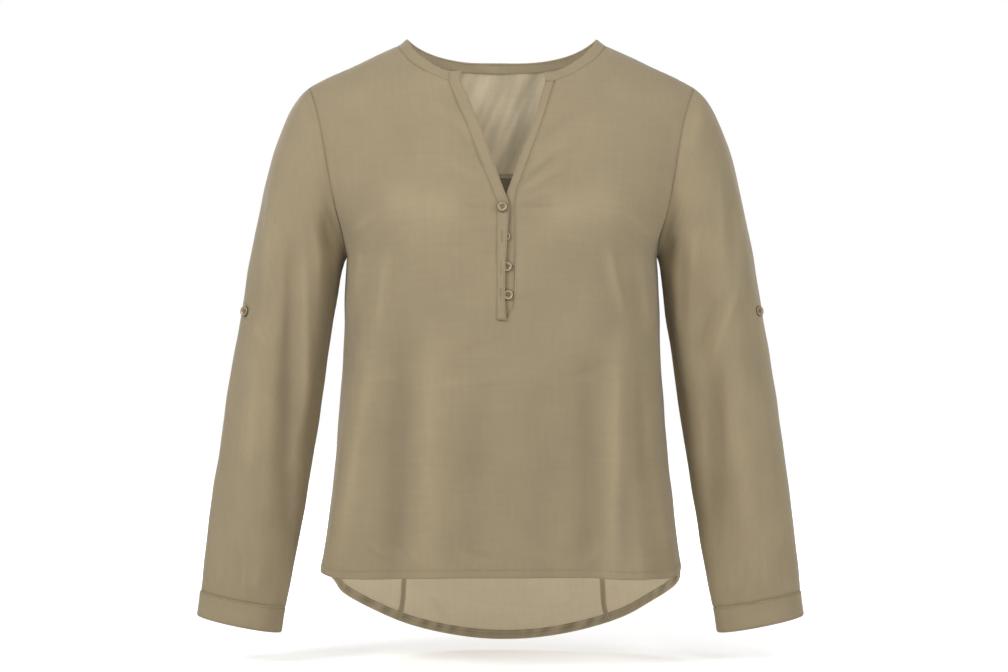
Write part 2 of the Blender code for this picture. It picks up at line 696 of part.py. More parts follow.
def half_neck_seam(side, end_x):
    """The seam of the neckband from its end at the front opening to the centre back."""
    rises, _, v_rise = front_rows()
    neck = rises[rises >= v_rise - 1e-9][:-1]
    x = np.where(neck > v_rise + 1e-9, crossing_x(FRONT_NECKLINE, neck), FRONT_NECKLINE[0][0])
    end = np.array([end_x, (end_x + x[0]) / 2])
    front_x = np.concatenate([end, x])
    front_rise = np.concatenate([rise_of(FRONT, end, np.full(2, V_TOP_Z)), neck])
    front = body_point(FRONT, turn_of(FRONT, side * front_x, front_rise), front_rise)
    back_x = NECK_X * np.linspace(1, 0, 10)
    back_rise = rise_of(BACK, back_x, neck_back_z(back_x))
    back = body_point(BACK, turn_of(BACK, side * back_x, back_rise), back_rise)
    return np.concatenate([front, back])


def neck_seam():
    """The seam of the neckband, from its left end round the back to its right end."""
    left = half_neck_seam(LEFT, OPENING[-1][3])
    right = half_neck_seam(RIGHT, -OPENING[-1][2])
    return np.concatenate([left, right[-2::-1]])


def neckband_net():
    """The neckband, which stands on the neck seam and leans in over the neck."""
    seam = neck_seam()
    along = np.concatenate([[0], np.cumsum(np.linalg.norm(np.diff(seam, axis=0), axis=1))])
    share = along / along[-1]
    lean = np.radians(on_rows(BAND_LEAN, np.minimum(share, 1 - share))[:, 0])
    tangent = np.gradient(seam, axis=0)
    inward = unit(np.stack([-tangent[:, 1], tangent[:, 0], np.zeros(len(seam))], axis=-1))
    stand = inward * np.cos(lean)[:, None] + np.array([0.0, 0.0, 1.0]) * np.sin(lean)[:, None]
    rows = np.array([HALF_GAP * 2, BAND_HEIGHT / 2, BAND_HEIGHT])[:, None, None]
    return seam[None] + stand[None] * rows


def placket_net(first, last, shares, lifts):
    """A strip of the opening from its foot to the neckband, on the front's surface.

    first and last are its edges, one x for each row of OPENING. shares gives the places across
    it, and lifts their heights off the front, first where the plackets overlap and then above.
    """
    heights = np.concatenate([
        np.linspace(SLIT_FOOT_Z - LAP, V_ZONE[0], 13),
        np.linspace(V_ZONE[0], V_ZONE[1], 5)[1:],
        np.linspace(V_ZONE[1], V_TOP_Z - 2 * HALF_GAP, 7)[1:],
    ])
    rows = np.array(OPENING)[:, 0]
    start, end = np.interp(heights, rows, first), np.interp(heights, rows, last)
    x = start[:, None] + (end - start)[:, None] * np.array(shares)
    apart = ease((heights - V_ZONE[0]) / (V_ZONE[1] - V_ZONE[0]))[:, None]
    overlapped, above = np.array(lifts)
    lift = overlapped * (1 - apart) + above * apart
    rise = rise_of(FRONT, np.abs(x), np.broadcast_to(heights[:, None], x.shape))
    return body_point(FRONT, turn_of(FRONT, x, rise), rise, lift)


def upper_placket_net():
    """The placket on the wearer's right, which lies on the front and carries the buttonholes."""
    table = np.array(OPENING)
    shares = (0.0, 0.3, 0.6, 1.0)
    over_buttons = UPPER_LIFT + BUTTON_ROOM * np.array([0.0, 0.6, 1.0, 1.0])
    return placket_net(table[:, 1], table[:, 2], shares, (over_buttons, np.full(4, UPPER_LIFT)))


def under_placket_net():
    """The placket on the wearer's left, which lies under the front and carries the buttons."""
    table = np.array(OPENING)
    shares = (0.0, 0.4, 0.75, 1.0)
    lifts = np.full((2, 4), -UNDER_SINK)
    return placket_net(table[:, 3], table[:, 4] + LAP, shares, lifts)


# ---------------------------------------------------------------- buttons

def button_profile():
    """Half section of a button with a raised rim and a dished face, from its axis outwards."""
    radius, thick = BUTTON_RADIUS, BUTTON_THICK
    return (
        (0.0, 0.60 * thick),
        (0.58 * radius, 0.64 * thick),
        (0.72 * radius, 0.96 * thick),
        (0.86 * radius, thick),
        (radius, 0.62 * thick),
        (0.92 * radius, 0.18 * thick),
        (0.66 * radius, 0.0),
        (0.0, 0.0),
    )


def button_hole_cutter(name):
    """The four thread holes of a button, as one cutter."""
    made = bmesh.new()
    for across, along in ((1, 1), (1, -1), (-1, -1), (-1, 1)):
        hole = Vector((across * BUTTON_HOLE_SPREAD, along * BUTTON_HOLE_SPREAD, BUTTON_THICK / 2))
        bmesh.ops.create_cone(
            made, cap_ends=True, segments=5, radius1=BUTTON_HOLE, radius2=BUTTON_HOLE,
            depth=3 * BUTTON_THICK, matrix=Matrix.Translation(hole),
        )
    mesh = bpy.data.meshes.new(name)
    made.to_mesh(mesh)
    made.free()
    cutter = bpy.data.objects.new(name, mesh)
    cutter.hide_render = True
    cutter.display_type = "WIRE"
    bpy.data.collections[COLLECTION + "_cutters"].objects.link(cutter)
    return cutter


def add_button(name, place, normal, material):
    """A sewn-on button whose back is at place and whose face looks along normal."""
    profile = bpy.data.meshes.new(name)
    points = [(x, 0.0, z) for x, z in button_profile()]
    profile.from_pydata(points, [(n, n + 1) for n in range(len(points) - 1)], [])
    profile.materials.append(material)
    button = bpy.data.objects.new(name, profile)
    bpy.data.collections[COLLECTION].objects.link(button)
    turned = button.modifiers.new("turned", "SCREW")
    turned.axis = "Z"
    turned.steps = turned.render_steps = 16
    turned.use_merge_vertices = True
    turned.merge_threshold = 0.00001
    turned.use_smooth_shade = True
    cutter = button_hole_cutter(name + "_holes")
    holes = button.modifiers.new("holes", "BOOLEAN")
    holes.operation = "DIFFERENCE"
    holes.object = cutter
    turn = Vector(normal).to_track_quat("Z", "Y")
    for thing in (button, cutter):
        thing.rotation_mode = "QUATERNION"
        thing.rotation_quaternion = turn
        thing.location = place
    return button


def add_front_buttons(material):
    for number, (x, z, done_up) in enumerate(FRONT_BUTTONS, start=1):
        rise = rise_of(FRONT, np.array(x), np.array(z))
        turn = turn_of(FRONT, x, rise)
        seat = (UPPER_LIFT + BUTTON_ROOM if done_up else -UNDER_SINK) + BUTTON_SEAT
        point = body_point(FRONT, turn, rise, seat)
        add_button(f"button_{number}", point, body_normal(FRONT, turn, rise), material)


def add_sleeve_button(side, name, material):
    ring, around = np.array([TAB_RING]), np.array([TAB_TURN])
    normal = sleeve_normals(side, ring, around)[0, 0]
    place = sleeve_points(side, ring, around)[0, 0] + normal * 2 * BUTTON_SEAT
    mirror = np.array([side, 1.0, 1.0])
    add_button(name, place * mirror, normal * mirror, material)


# ---------------------------------------------------------------- the garment

def clear_scene():
    for thing in list(bpy.data.objects):
        bpy.data.objects.remove(thing, do_unlink=True)
    for name in (COLLECTION, COLLECTION + "_cutters"):
        bpy.context.scene.collection.children.link(bpy.data.collections.new(name))


def build_body(cloth):
    net, missing = front_net()
    cloth_piece("front", net, CLOTH, cloth, missing=missing)
    centre = back_net((princess_x, LEFT), (princess_x, RIGHT), BACK_CENTRE_COLUMNS)
    cloth_piece("back_centre", with_gaps(centre, ("head", "start", "end")), CLOTH, cloth)
    left = back_net((None, LEFT), (princess_x, LEFT), BACK_SIDE_COLUMNS)
    cloth_piece("back_side_left", with_gaps(left, ("head", "start", "end")), CLOTH, cloth)
    right = back_net((princess_x, RIGHT), (None, RIGHT), BACK_SIDE_COLUMNS)
    cloth_piece("back_side_right", with_gaps(right, ("head", "start", "end")), CLOTH, cloth)
    cloth_piece("back_yoke", yoke_net(), CLOTH, cloth)


def build_sleeves(cloth, horn):
    for side, word in ((LEFT, "left"), (RIGHT, "right")):
        cloth_piece(f"sleeve_{word}", sleeve_net(side), CLOTH, cloth, round_it=True)
        cloth_piece(f"cuff_{word}", cuff_net(side), DOUBLED, cloth, round_it=True)
        cloth_piece(f"sleeve_tab_{word}", tab_net(side), DOUBLED, cloth)
        add_sleeve_button(side, f"sleeve_button_{word}", horn)


def build_opening(cloth, horn):
    cloth_piece("neckband", neckband_net(), DOUBLED, cloth)
    cloth_piece("placket_upper", upper_placket_net(), DOUBLED, cloth)
    cloth_piece("placket_under", under_placket_net(), DOUBLED, cloth)
    add_front_buttons(horn)


def main():
    clear_scene()
    cloth = new_material("taupe_cloth", CLOTH_COLOUR, 0.85)
    horn = new_material("horn_button", BUTTON_COLOUR, 0.4)
    build_body(cloth)
    build_sleeves(cloth, horn)
    build_opening(cloth, horn)


main()
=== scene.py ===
"""Looks of a women's pull-on blouse with a buttoned half placket, hollow as worn, with no wearer.

Metres, +Z up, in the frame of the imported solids: the front of the blouse faces -Y, the wearer's
left is +X, and the origin lies midway between the neck ends of the two shoulder seams. Every
panel is a thin shell on the form that its solid has, with finer creases, seams and hems.
"""

import logging
import math
from dataclasses import dataclass
from enum import Enum, IntEnum

import bmesh
import bpy
import numpy as np
from bmesh.types import BMesh
from bpy.types import Material, Mesh, Node, NodeSocket, NodeTree, Object, ShaderNodeTree
from mathutils import Matrix, Vector

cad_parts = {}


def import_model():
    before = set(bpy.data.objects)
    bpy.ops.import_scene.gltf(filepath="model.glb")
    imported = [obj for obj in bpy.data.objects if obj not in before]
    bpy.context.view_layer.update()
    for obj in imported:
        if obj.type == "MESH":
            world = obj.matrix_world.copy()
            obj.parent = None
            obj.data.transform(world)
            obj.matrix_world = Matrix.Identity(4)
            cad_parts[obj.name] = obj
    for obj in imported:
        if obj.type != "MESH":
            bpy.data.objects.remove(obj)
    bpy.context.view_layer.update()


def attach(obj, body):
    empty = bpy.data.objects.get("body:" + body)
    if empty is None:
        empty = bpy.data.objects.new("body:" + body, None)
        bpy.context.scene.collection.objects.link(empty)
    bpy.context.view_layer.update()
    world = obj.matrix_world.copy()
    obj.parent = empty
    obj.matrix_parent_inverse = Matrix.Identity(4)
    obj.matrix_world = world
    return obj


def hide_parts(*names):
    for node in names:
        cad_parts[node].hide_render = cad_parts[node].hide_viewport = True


log = logging.getLogger("blouse")

Array = np.ndarray
Table = tuple[tuple[float, ...], ...]

MM = 0.001
FULL_TURN = 2 * math.pi


def in_mm(*rows: tuple[float, ...]) -> Table:
    """Rows of lengths that are given in millimetres, in metres."""
    return tuple(tuple(value / 1000 for value in row) for row in rows)


class Side(IntEnum):
    """The wearer's sides, by the sign of x."""

    RIGHT = -1
    LEFT = 1


class Half(IntEnum):
    """The two halves of the body, by the sign of y."""

    FRONT = -1
    BACK = 1


class Edge(Enum):
    """The edges of a net: its first and last row, and its first and last column."""

    FOOT = "foot"
    HEAD = "head"
    START = "start"
    END = "end"


class Work(Enum):
    """How the edge of a panel is finished."""

    SEAM = "sewn to its neighbour, with the allowance turned inside"
    HEM = "turned up and stitched"


SEWN = {edge: Work.SEAM for edge in Edge}
HEMMED = SEWN | {Edge.FOOT: Work.HEM}


# ---- curves and nets


def on_rows(rows: Table, key: Array | float) -> Array:
    """Reads a table on smooth curves through its rows.

    Args:
        rows: The table. Its first column rises.
        key: Values of the first column to read at.

    Returns:
        Every other column at each key, in a last axis.
    """
    table = np.array(rows, float)
    keys, values = table[:, 0], table[:, 1:]
    slopes = np.gradient(values, keys, axis=0)
    key = np.clip(np.asarray(key, float), keys[0], keys[-1])
    low = np.clip(np.searchsorted(keys, key, side="right") - 1, 0, len(keys) - 2)
    span = (keys[low + 1] - keys[low])[..., None]
    t = (key - keys[low])[..., None] / span
    return (
        (2 * t**3 - 3 * t**2 + 1) * values[low]
        + (t**3 - 2 * t**2 + t) * span * slopes[low]
        + (3 * t**2 - 2 * t**3) * values[low + 1]
        + (t**3 - t**2) * span * slopes[low + 1]
    )


def ease(t: Array | float) -> Array:
    """0 to 1 with level ends."""
    t = np.clip(t, 0.0, 1.0)
    return t * t * (3 - 2 * t)


def unit(vectors: Array) -> Array:
    """The same directions, one long."""
    return vectors / np.maximum(np.linalg.norm(vectors, axis=-1, keepdims=True), 1e-12)


def bell(away: Array, width: float) -> Array:
    """1 in the middle, and near 0 from about twice the width away."""
    return np.exp(-((away / width) ** 2))


def on_line(key: float, keys: Array, points: Array) -> Array:
    """The point of a line where its rising keys reach one key."""
    return np.array([np.interp(key, keys, points[:, axis]) for axis in range(3)])


def arc_lengths(points: Array) -> Array:
    """Length along lines of points, from the first point of each. The lines run along axis 0."""
    steps = np.linalg.norm(np.diff(points, axis=0), axis=-1)
    return np.concatenate([np.zeros((1, *steps.shape[1:])), np.cumsum(steps, axis=0)])


def crowded(count: int, start: bool = True, end: bool = True, closeness: float = 4.0) -> Array:
    """Places from 0 to 1 that lie closer together at the ends that are asked for.

    Args:
        count: How many steps there are.
        start: Whether the places crowd at 0.
        end: Whether they crowd at 1.
        closeness: How many times closer than in the middle they lie there.

    Returns:
        count + 1 places.
    """
    reach = 5.0
    number = np.arange(count) + 0.5
    near = start * np.exp(-number / reach) + end * np.exp(-(count - number) / reach)
    steps = 1 / (1 + (closeness - 1) * near)
    return np.concatenate([[0], np.cumsum(steps)]) / steps.sum()


@dataclass
class Net:
    """Points of a piece of cloth, in rows and columns.

    Rows follow each other up the piece, and columns to the right as it is seen from outside, so
    that columns crossed with rows point outwards.
    """

    points: Array
    closed: bool = False    # whether the last column lies on the first
    painted_relief_shade: Array | None = None    # for painted shade: 1 on a full ridge of the cloth, -1 in a full hollow

    def normals(self) -> Array:
        """Outward directions at the points."""
        points = self.points
        if self.closed:
            points = np.concatenate([points[:, -2:-1], points, points[:, 1:2]], axis=1)
        out = unit(np.cross(np.gradient(points, axis=1), np.gradient(points, axis=0)))
        return out[:, 1:-1] if self.closed else out

    def lifted(self, lift: Array | float) -> "Net":
        """The net moved out along its normals."""
        lift = np.broadcast_to(lift, self.points.shape[:2])
        return Net(self.points + self.normals() * lift[..., None], self.closed, self.painted_relief_shade)

    def across(self) -> Array:
        """Length of each row up to each of its points."""
        return arc_lengths(self.points.transpose(1, 0, 2)).T

    def along(self) -> Array:
        """Length of each column up to each of its points."""
        return arc_lengths(self.points)

    def away(self, edge: Edge) -> Array:
        """Distance in the cloth of each point from an edge."""
        points = self.points
        if edge in (Edge.START, Edge.END):
            points = points.transpose(1, 0, 2)
        if edge in (Edge.HEAD, Edge.END):
            points = points[::-1]
        lengths = arc_lengths(points)
        if edge in (Edge.HEAD, Edge.END):
            lengths = lengths[::-1]
        return lengths.T if edge in (Edge.START, Edge.END) else lengths

    def strip(self, edge: Edge, distances: Array, lift: float = 0.0) -> "Net":
        """A strip of the net beside one of its edges.

        Args:
            edge: The edge.
            distances: How far from it the strip's lines lie, in rising order. Below 0 they lie
                beyond it.
            lift: How far the strip is moved out, or in where it is below 0.

        Returns:
            The strip, with the net's own sense.
        """
        values = np.concatenate([self.points, self.normals()], axis=-1)
        sideways, reverse = edge in (Edge.START, Edge.END), edge in (Edge.HEAD, Edge.END)
        values = values.transpose(1, 0, 2) if sideways else values
        values = values[::-1] if reverse else values
        lengths = arc_lengths(values[..., :3])
        found = np.empty((len(distances), *values.shape[1:]))
        for column in range(values.shape[1]):
            for part in range(values.shape[2]):
                found[:, column, part] = np.interp(distances, lengths[:, column], values[:, column, part])
        slope = (values[1, :, :3] - values[0, :, :3]) / lengths[1][:, None]
        found[..., :3] += slope * np.minimum(distances, 0)[:, None, None]
        found = found[::-1] if reverse else found
        found = found.transpose(1, 0, 2) if sideways else found
        return Net(found[..., :3] + lift * unit(found[..., 3:]), self.closed and not sideways)

    def cut(self, missing: Array | None = None) -> tuple[float, float, float]:
        """The flat width, length and area of the cloth, all round where the net is closed."""
        width, length = self.across().max(), self.along().max()
        corner = self.points[:-1, :-1]
        first = np.cross(self.points[:-1, 1:] - corner, self.points[1:, 1:] - corner)
        second = np.cross(self.points[1:, 1:] - corner, self.points[1:, :-1] - corner)
        areas = (np.linalg.norm(first, axis=-1) + np.linalg.norm(second, axis=-1)) / 2
        if missing is not None:
            areas = areas * ~missing
        return float(width), float(length), float(min(areas.sum(), width * length))


# ---- the body's form


@dataclass(frozen=True)
class BodyForm:
    """The body of the blouse: rings round the wearer, and the soft folds that hang on them.

    turn runs from -1, the right side seam, through 0, the centre, to 1, the left side seam. rise
    is -1 at the hem, 0 at the armpit and 1 at the shoulder seam.
    """

    roundness: float = 2.3
    armpit_z: float = -0.231
    quarter_arc: float = 0.235
    neck_x: float = 0.115
    neck_back_z: float = -0.024
    neck_curve: float = 2.6
    yoke_z: float = -0.137
    hem_side_z: float = -0.573
    tail_drop: float = 0.0905
    tail_curve_right: float = 0.67
    tail_curve_left: float = 0.57
    chest_fullness: float = 1.7
    back_fullness: float = 1.9
    fold_growth: float = 1.6
    fit_steps: int = 10
    # height, half width, front depth, back depth
    rings: Table = in_mm(
        (-680, 200, 117, 112), (-573, 197, 118, 110), (-541, 192.5, 119, 108.5),
        (-488, 186.5, 121, 106), (-435, 181.2, 123.5, 104), (-382, 176.8, 126, 102),
        (-328, 173.5, 128, 101), (-275, 172, 129, 102), (-231, 170, 128, 104),
    )
    # share of the way up to the shoulder, half width of the ring, where the armhole cuts it
    chest_rings: Table = (
        (0, 0.17, 0.17), (0.097, 0.1763, 0.172), (0.224, 0.1906, 0.1785), (0.411, 0.2075, 0.1855),
        (0.64, 0.2254, 0.1935), (0.82, 0.236, 0.201), (1, 0.245, 0.211),
    )
    # x, height
    shoulder_line: Table = in_mm(
        (0, 20), (60, 16.5), (115, 0), (140, -10.7), (165, -22.2), (190, -33.8), (211, -45),
    )
    # share of the half width, height
    front_hem: Table = (
        (0, -0.5745), (0.5, -0.5755), (0.8, -0.579), (0.93, -0.5785), (1, -0.573),
    )
    # x, height
    front_neckline: Table = in_mm(
        (57.5, -44.5), (68, -40), (79.4, -34.4), (99.3, -20.4), (109, -10), (115, 0),
    )
    # height, x of the seam beside the centre back
    princess: Table = ((-0.680, 0.1190), (-0.137, 0.0880))
    # place at the top, place at the bottom, top height, bottom height, width, height out
    folds: Table = (
        (-0.54, -0.82, -0.19, -0.575, 0.02, 0.005), (-0.43, -0.5, -0.28, -0.575, 0.026, -0.0055),
        (-0.22, -0.27, -0.33, -0.6, 0.032, 0.0035), (0, 0.02, -0.35, -0.6, 0.038, -0.003),
        (0.24, 0.29, -0.32, -0.6, 0.026, -0.0048), (0.42, 0.47, -0.28, -0.6, 0.026, 0.0045),
        (0.5, 0.74, -0.19, -0.575, 0.018, 0.0042), (0.6, 0.63, -0.33, -0.575, 0.018, -0.0034),
        (1.26, 1.2, -0.25, -0.62, 0.026, 0.005), (1.45, 1.42, -0.28, -0.64, 0.024, -0.005),
        (1.66, 1.64, -0.24, -0.66, 0.028, 0.0045), (1.92, 1.94, -0.3, -0.67, 0.034, -0.0042),
        (-1.88, -1.84, -0.24, -0.67, 0.03, 0.0038), (-1.62, -1.6, -0.26, -0.65, 0.026, -0.0052),
        (-1.4, -1.36, -0.23, -0.63, 0.026, 0.0048), (-1.22, -1.2, -0.3, -0.61, 0.022, -0.0036),
    )

    def shoulder_z(self, x: Array) -> Array:
        """Height of the shoulder seam at x."""
        return on_rows(self.shoulder_line, np.abs(x))[..., 0]

    def hem_z(self, half: Half, share: Array) -> Array:
        """Height of the hem at a share of the half width, below 0 on the right."""
        if half == Half.FRONT:
            return on_rows(self.front_hem, np.abs(share))[..., 0]
        curve = np.where(share < 0, self.tail_curve_right, self.tail_curve_left)
        return self.hem_side_z - self.tail_drop * np.clip(1 - share**2, 0, 1) ** curve

    def fold_height(self, half: Half, turn: Array, z: Array) -> Array:
        """How far the folds lift the surface at a place."""
        around = turn if half == Half.FRONT else np.where(turn < 0, -2 - turn, 2 - turn)
        lift = np.zeros(np.broadcast(around, z).shape)
        for top, bottom, top_z, bottom_z, width, height in self.folds:
            down = np.clip((top_z - z) / (top_z - bottom_z), 0, 1)
            centre = top + (bottom - top) * down
            away = ((around - centre + 2) % 4 - 2) * self.quarter_arc
            lift += height * ease(down * self.fold_growth) * bell(away, width)
        return lift

    def ring_point(self, half: Half, turn: Array, rise: Array) -> Array:
        """Points of the body before its folds."""
        turn, rise = np.broadcast_arrays(np.asarray(turn, float), np.asarray(rise, float))
        angle = np.clip(np.abs(turn), 0, 1) * math.pi / 2
        share = np.sin(angle) ** (2 / self.roundness)
        hem = self.hem_z(half, np.sign(turn) * share)
        low_z = hem + (self.armpit_z - hem) * (1 + np.minimum(rise, 0))
        low_ring = on_rows(self.rings, low_z)
        climb = np.sin(np.clip(rise, 0, 1) * math.pi / 2)
        front = half == Half.FRONT
        fullness = self.chest_fullness if front else self.back_fullness
        armpit_depth = self.rings[-1][2 if front else 3]
        high_width = on_rows(self.chest_rings, climb)[..., 0]
        high_depth = armpit_depth * np.clip(1 - climb**fullness, 0, 1) ** (1 / fullness)
        width = np.where(rise > 0, high_width, low_ring[..., 0])
        depth = np.where(rise > 0, high_depth, low_ring[..., 1 if front else 2])
        x = np.sign(turn) * width * share
        y = half * depth * np.cos(angle) ** (2 / self.roundness)
        high_z = self.armpit_z + climb * (self.shoulder_z(x) - self.armpit_z)
        return np.stack([x, y, np.where(rise > 0, high_z, low_z)], axis=-1)

    def normal(self, half: Half, turn: Array, rise: Array) -> Array:
        """Outward directions of the form."""
        step = 0.004
        turn = np.clip(turn, -1 + step, 1 - step)
        rise = np.clip(rise, -1 + step, 1 - 2 * step)
        across = self.ring_point(half, turn + step, rise) - self.ring_point(half, turn - step, rise)
        up = self.ring_point(half, turn, rise + step) - self.ring_point(half, turn, rise - step)
        return -half * unit(np.cross(across, up))

    def point(self, half: Half, turn: Array, rise: Array, lift: float = 0.0) -> Array:
        """Points of the body's outer face, with its folds, moved out by lift."""
        point = self.ring_point(half, turn, rise)
        out = self.fold_height(half, np.asarray(turn, float), point[..., 2]) + lift
        return point + self.normal(half, turn, rise) * np.asarray(out)[..., None]

    def turn_of(self, half: Half, x: Array, rise: Array) -> Array:
        """The turn at which the body reaches x on a row of this rise."""
        x, rise = np.broadcast_arrays(np.asarray(x, float), np.asarray(rise, float))
        turn = np.sign(x) * 0.5
        for _ in range(self.fit_steps):
            ring = self.ring_point(half, turn, rise)
            angle = np.clip(np.abs(turn), 1e-4, 1) * math.pi / 2
            width = np.abs(ring[..., 0]) / np.sin(angle) ** (2 / self.roundness)
            share = np.clip(np.abs(x) / np.maximum(width, 1e-6), 0, 1)
            turn = np.sign(x) * np.arcsin(share ** (self.roundness / 2)) / (math.pi / 2)
        return turn

    def rise_of(self, half: Half, x: Array, z: Array) -> Array:
        """The rise at which the body is at this x and height."""
        climb = (z - self.armpit_z) / (self.shoulder_z(x) - self.armpit_z)
        high = np.arcsin(np.clip(climb, 0, 1)) / (math.pi / 2)
        share = np.clip(np.abs(x) / on_rows(self.rings, z)[..., 0], 0, 1)
        low = (z - self.armpit_z) / (self.armpit_z - self.hem_z(half, share))
        return np.where(z > self.armpit_z, high, low)

    def front_rise(self, x: float, z: float) -> float:
        """The front's rise at one place."""
        return float(self.rise_of(Half.FRONT, np.array(abs(x)), np.array(z)))

    def on_front(self, x: Array, z: Array, lift: Array | float = 0.0) -> Array:
        """Points of the front at x and a height, moved out by lift."""
        rise = self.rise_of(Half.FRONT, np.abs(x), z)
        return self.point(Half.FRONT, self.turn_of(Half.FRONT, x, rise), rise, lift)

    def armhole_x(self, rise: Array) -> Array:
        """Where the armhole, or below it the side seam, ends a row."""
        climb = np.sin(np.clip(rise, 0, 1) * math.pi / 2)
        return on_rows(self.chest_rings, climb)[..., 1]

    def side_turn(self, rise: Array) -> Array:
        """The turn of a row's outer end."""
        climb = np.sin(np.clip(rise, 0, 1) * math.pi / 2)
        ring = on_rows(self.chest_rings, climb)
        share = np.clip(ring[..., 1] / ring[..., 0], 0, 1)
        turn = np.arcsin(share ** (self.roundness / 2)) / (math.pi / 2)
        return np.where(np.asarray(rise) > 0, turn, 1.0)

    def neckline_x(self, rises: Array) -> Array:
        """x at which the front neckline crosses each row."""
        line = np.array(self.front_neckline, float)
        places = np.linspace(0, len(line) - 1, 400)
        x = np.interp(places, np.arange(len(line)), line[:, 0])
        z = np.interp(places, np.arange(len(line)), line[:, 1])
        return np.interp(rises, self.rise_of(Half.FRONT, x, z), x)

    def back_armhole_x(self, z: Array) -> Array:
        """Where the back's armhole is at a height."""
        rise = np.full(np.shape(z), 0.3)
        for _ in range(self.fit_steps):
            rise = self.rise_of(Half.BACK, self.armhole_x(rise), z)
        return self.armhole_x(rise)

    def princess_x(self, z: Array) -> Array:
        """Where the seam beside the centre back is at a height."""
        heights, xs = zip(*self.princess)
        return np.interp(z, heights, xs)

    def neck_back(self, x: Array) -> Array:
        """Height of the back neckline at x."""
        return self.neck_back_z * (1 - np.clip(np.abs(x) / self.neck_x, 0, 1) ** self.neck_curve)


@dataclass(frozen=True)
class SleeveForm:
    """One sleeve and its cuff: rings from the armhole, ring 0, to the cuff's edge, ring 15.

    It is worked out as if on the left. Around it, 0 is the outer side, 90 the front and 180 the
    underarm, in degrees.
    """

    side: Side
    body: BodyForm = BodyForm()
    last_ring: int = 12
    radius: float = 0.050   # on the average, for the width of its folds
    # outer x, outer z, inner x, inner z, front depth, back depth, shift forward
    rings: Table = in_mm(
        (222.5, -56, 170.8, -231.8, 60, 51.5, 0), (235, -76.5, 171.6, -233, 61, 53, 0),
        (248, -109, 173.2, -237.2, 61, 54.5, 0), (258.2, -145, 175.2, -244, 60, 55.5, 0),
        (268, -190, 178, -257, 58, 55.5, 1), (277.2, -240, 182.2, -283, 55.5, 54.5, 2),
        (285.5, -290.4, 187.2, -318, 53, 53, 3), (296.5, -354, 195.2, -372, 50.5, 50.5, 6),
        (306.5, -420.7, 204.3, -436.6, 48, 48, 10), (317, -494.1, 216.8, -510, 44.5, 44, 15),
        (324.5, -554.5, 227.6, -571.4, 40.5, 40, 19), (328.7, -595, 236.8, -613.4, 37, 37, 21),
        (329.2, -595.3, 236.6, -613.9, 36.8, 36.8, 21), (331, -608.9, 238.4, -627.7, 36.2, 36.2, 22),
        (332.8, -622.4, 240.2, -641.3, 35.6, 35.6, 23),
    )
    # ring, how much closer to the body the left sleeve's outer and inner sides hang
    left_in: Table = (
        (0, 0, 0), (4, 0, 0.0008), (6, 0, 0.003), (9, 0.0008, 0.0045), (12, 0.003, 0.0055),
        (14, 0.003, 0.0055),
    )
    # turn at the start, turn at the end, start ring, end ring, width, height out
    right_folds: Table = (
        (44, 60, 1.5, 8, 0.013, 0.0034), (88, 132, 4, 11.5, 0.016, -0.0062),
        (118, 146, 3, 8.5, 0.013, 0.0034), (62, 84, 7, 12, 0.018, 0.0036),
        (152, 160, 4, 10, 0.012, -0.0034), (236, 222, 3.5, 11.5, 0.016, -0.0052),
        (272, 262, 3, 11, 0.015, 0.0044), (318, 300, 5, 11.5, 0.015, -0.0036),
    )
    left_folds: Table = (
        (30, 40, 2, 8, 0.011, 0.0026), (62, 72, 2.5, 9, 0.015, 0.0036),
        (104, 122, 3.5, 11.5, 0.016, -0.0062), (86, 98, 7, 12, 0.016, 0.0032),
        (132, 150, 3, 9, 0.013, 0.0036), (158, 164, 4.5, 10.5, 0.012, -0.0034),
        (228, 240, 3.5, 11, 0.016, -0.005), (276, 268, 3, 11, 0.015, 0.0042),
        (314, 304, 5, 11.5, 0.014, -0.0034),
    )

    def armhole(self, around: Array) -> Array:
        """The armhole's edge."""
        angle = np.radians(around)
        rise = np.arcsin((1 + np.cos(angle)) / 2) / (math.pi / 2)
        turn = self.side * self.body.side_turn(rise)
        front = self.body.point(Half.FRONT, turn, rise)
        back = self.body.point(Half.BACK, turn, rise)
        ring = np.where((np.sin(angle) >= 0)[:, None], front, back)
        return ring * np.array([self.side, 1.0, 1.0])

    def ring(self, number: int, around: Array) -> Array:
        """One ring below the armhole."""
        outer_x, outer_z, inner_x, inner_z, front, back, forward = self.rings[number - 1]
        if self.side == Side.LEFT:
            outer_in, inner_in = on_rows(self.left_in, min(number, self.last_ring))
            outer_x, inner_x = outer_x - outer_in, inner_x - inner_in
        angle = np.radians(around)
        depth = np.where(np.sin(angle) >= 0, front, back)
        out = (1 + np.cos(angle)) / 2
        x = inner_x + (outer_x - inner_x) * out
        z = inner_z + (outer_z - inner_z) * out
        return np.stack([x, -forward - depth * np.sin(angle), z], axis=-1)

    def between(self, first: int, last: int, ring: Array, around: Array) -> Array:
        """Points between two ring numbers before the folds."""
        rings = [self.armhole(around) if n == 0 else self.ring(n, around) for n in range(first, last + 1)]
        flat = tuple((first + n, *points.ravel()) for n, points in enumerate(rings))
        return on_rows(flat, ring).reshape(len(ring), len(around), 3)

    def points(self, ring: Array, around: Array) -> Array:
        """Points of the sleeve's outer face, with its folds."""
        points = self.between(0, self.last_ring, ring, around)
        turns = np.linspace(0, 360, 28, endpoint=False)
        middle = self.between(0, self.last_ring, ring, turns).mean(axis=1, keepdims=True)
        lift = np.zeros(points.shape[:2])
        folds = self.left_folds if self.side == Side.LEFT else self.right_folds
        for start_turn, end_turn, start, end, width, height in folds:
            down = np.clip((ring - start) / (end - start), 0, 1)[:, None]
            centre = start_turn + (end_turn - start_turn) * down
            away = np.radians((around[None, :] - centre + 180) % 360 - 180) * self.radius
            lift += height * np.sin(down * math.pi) * bell(away, width)
        return points + unit(points - middle) * lift[..., None]

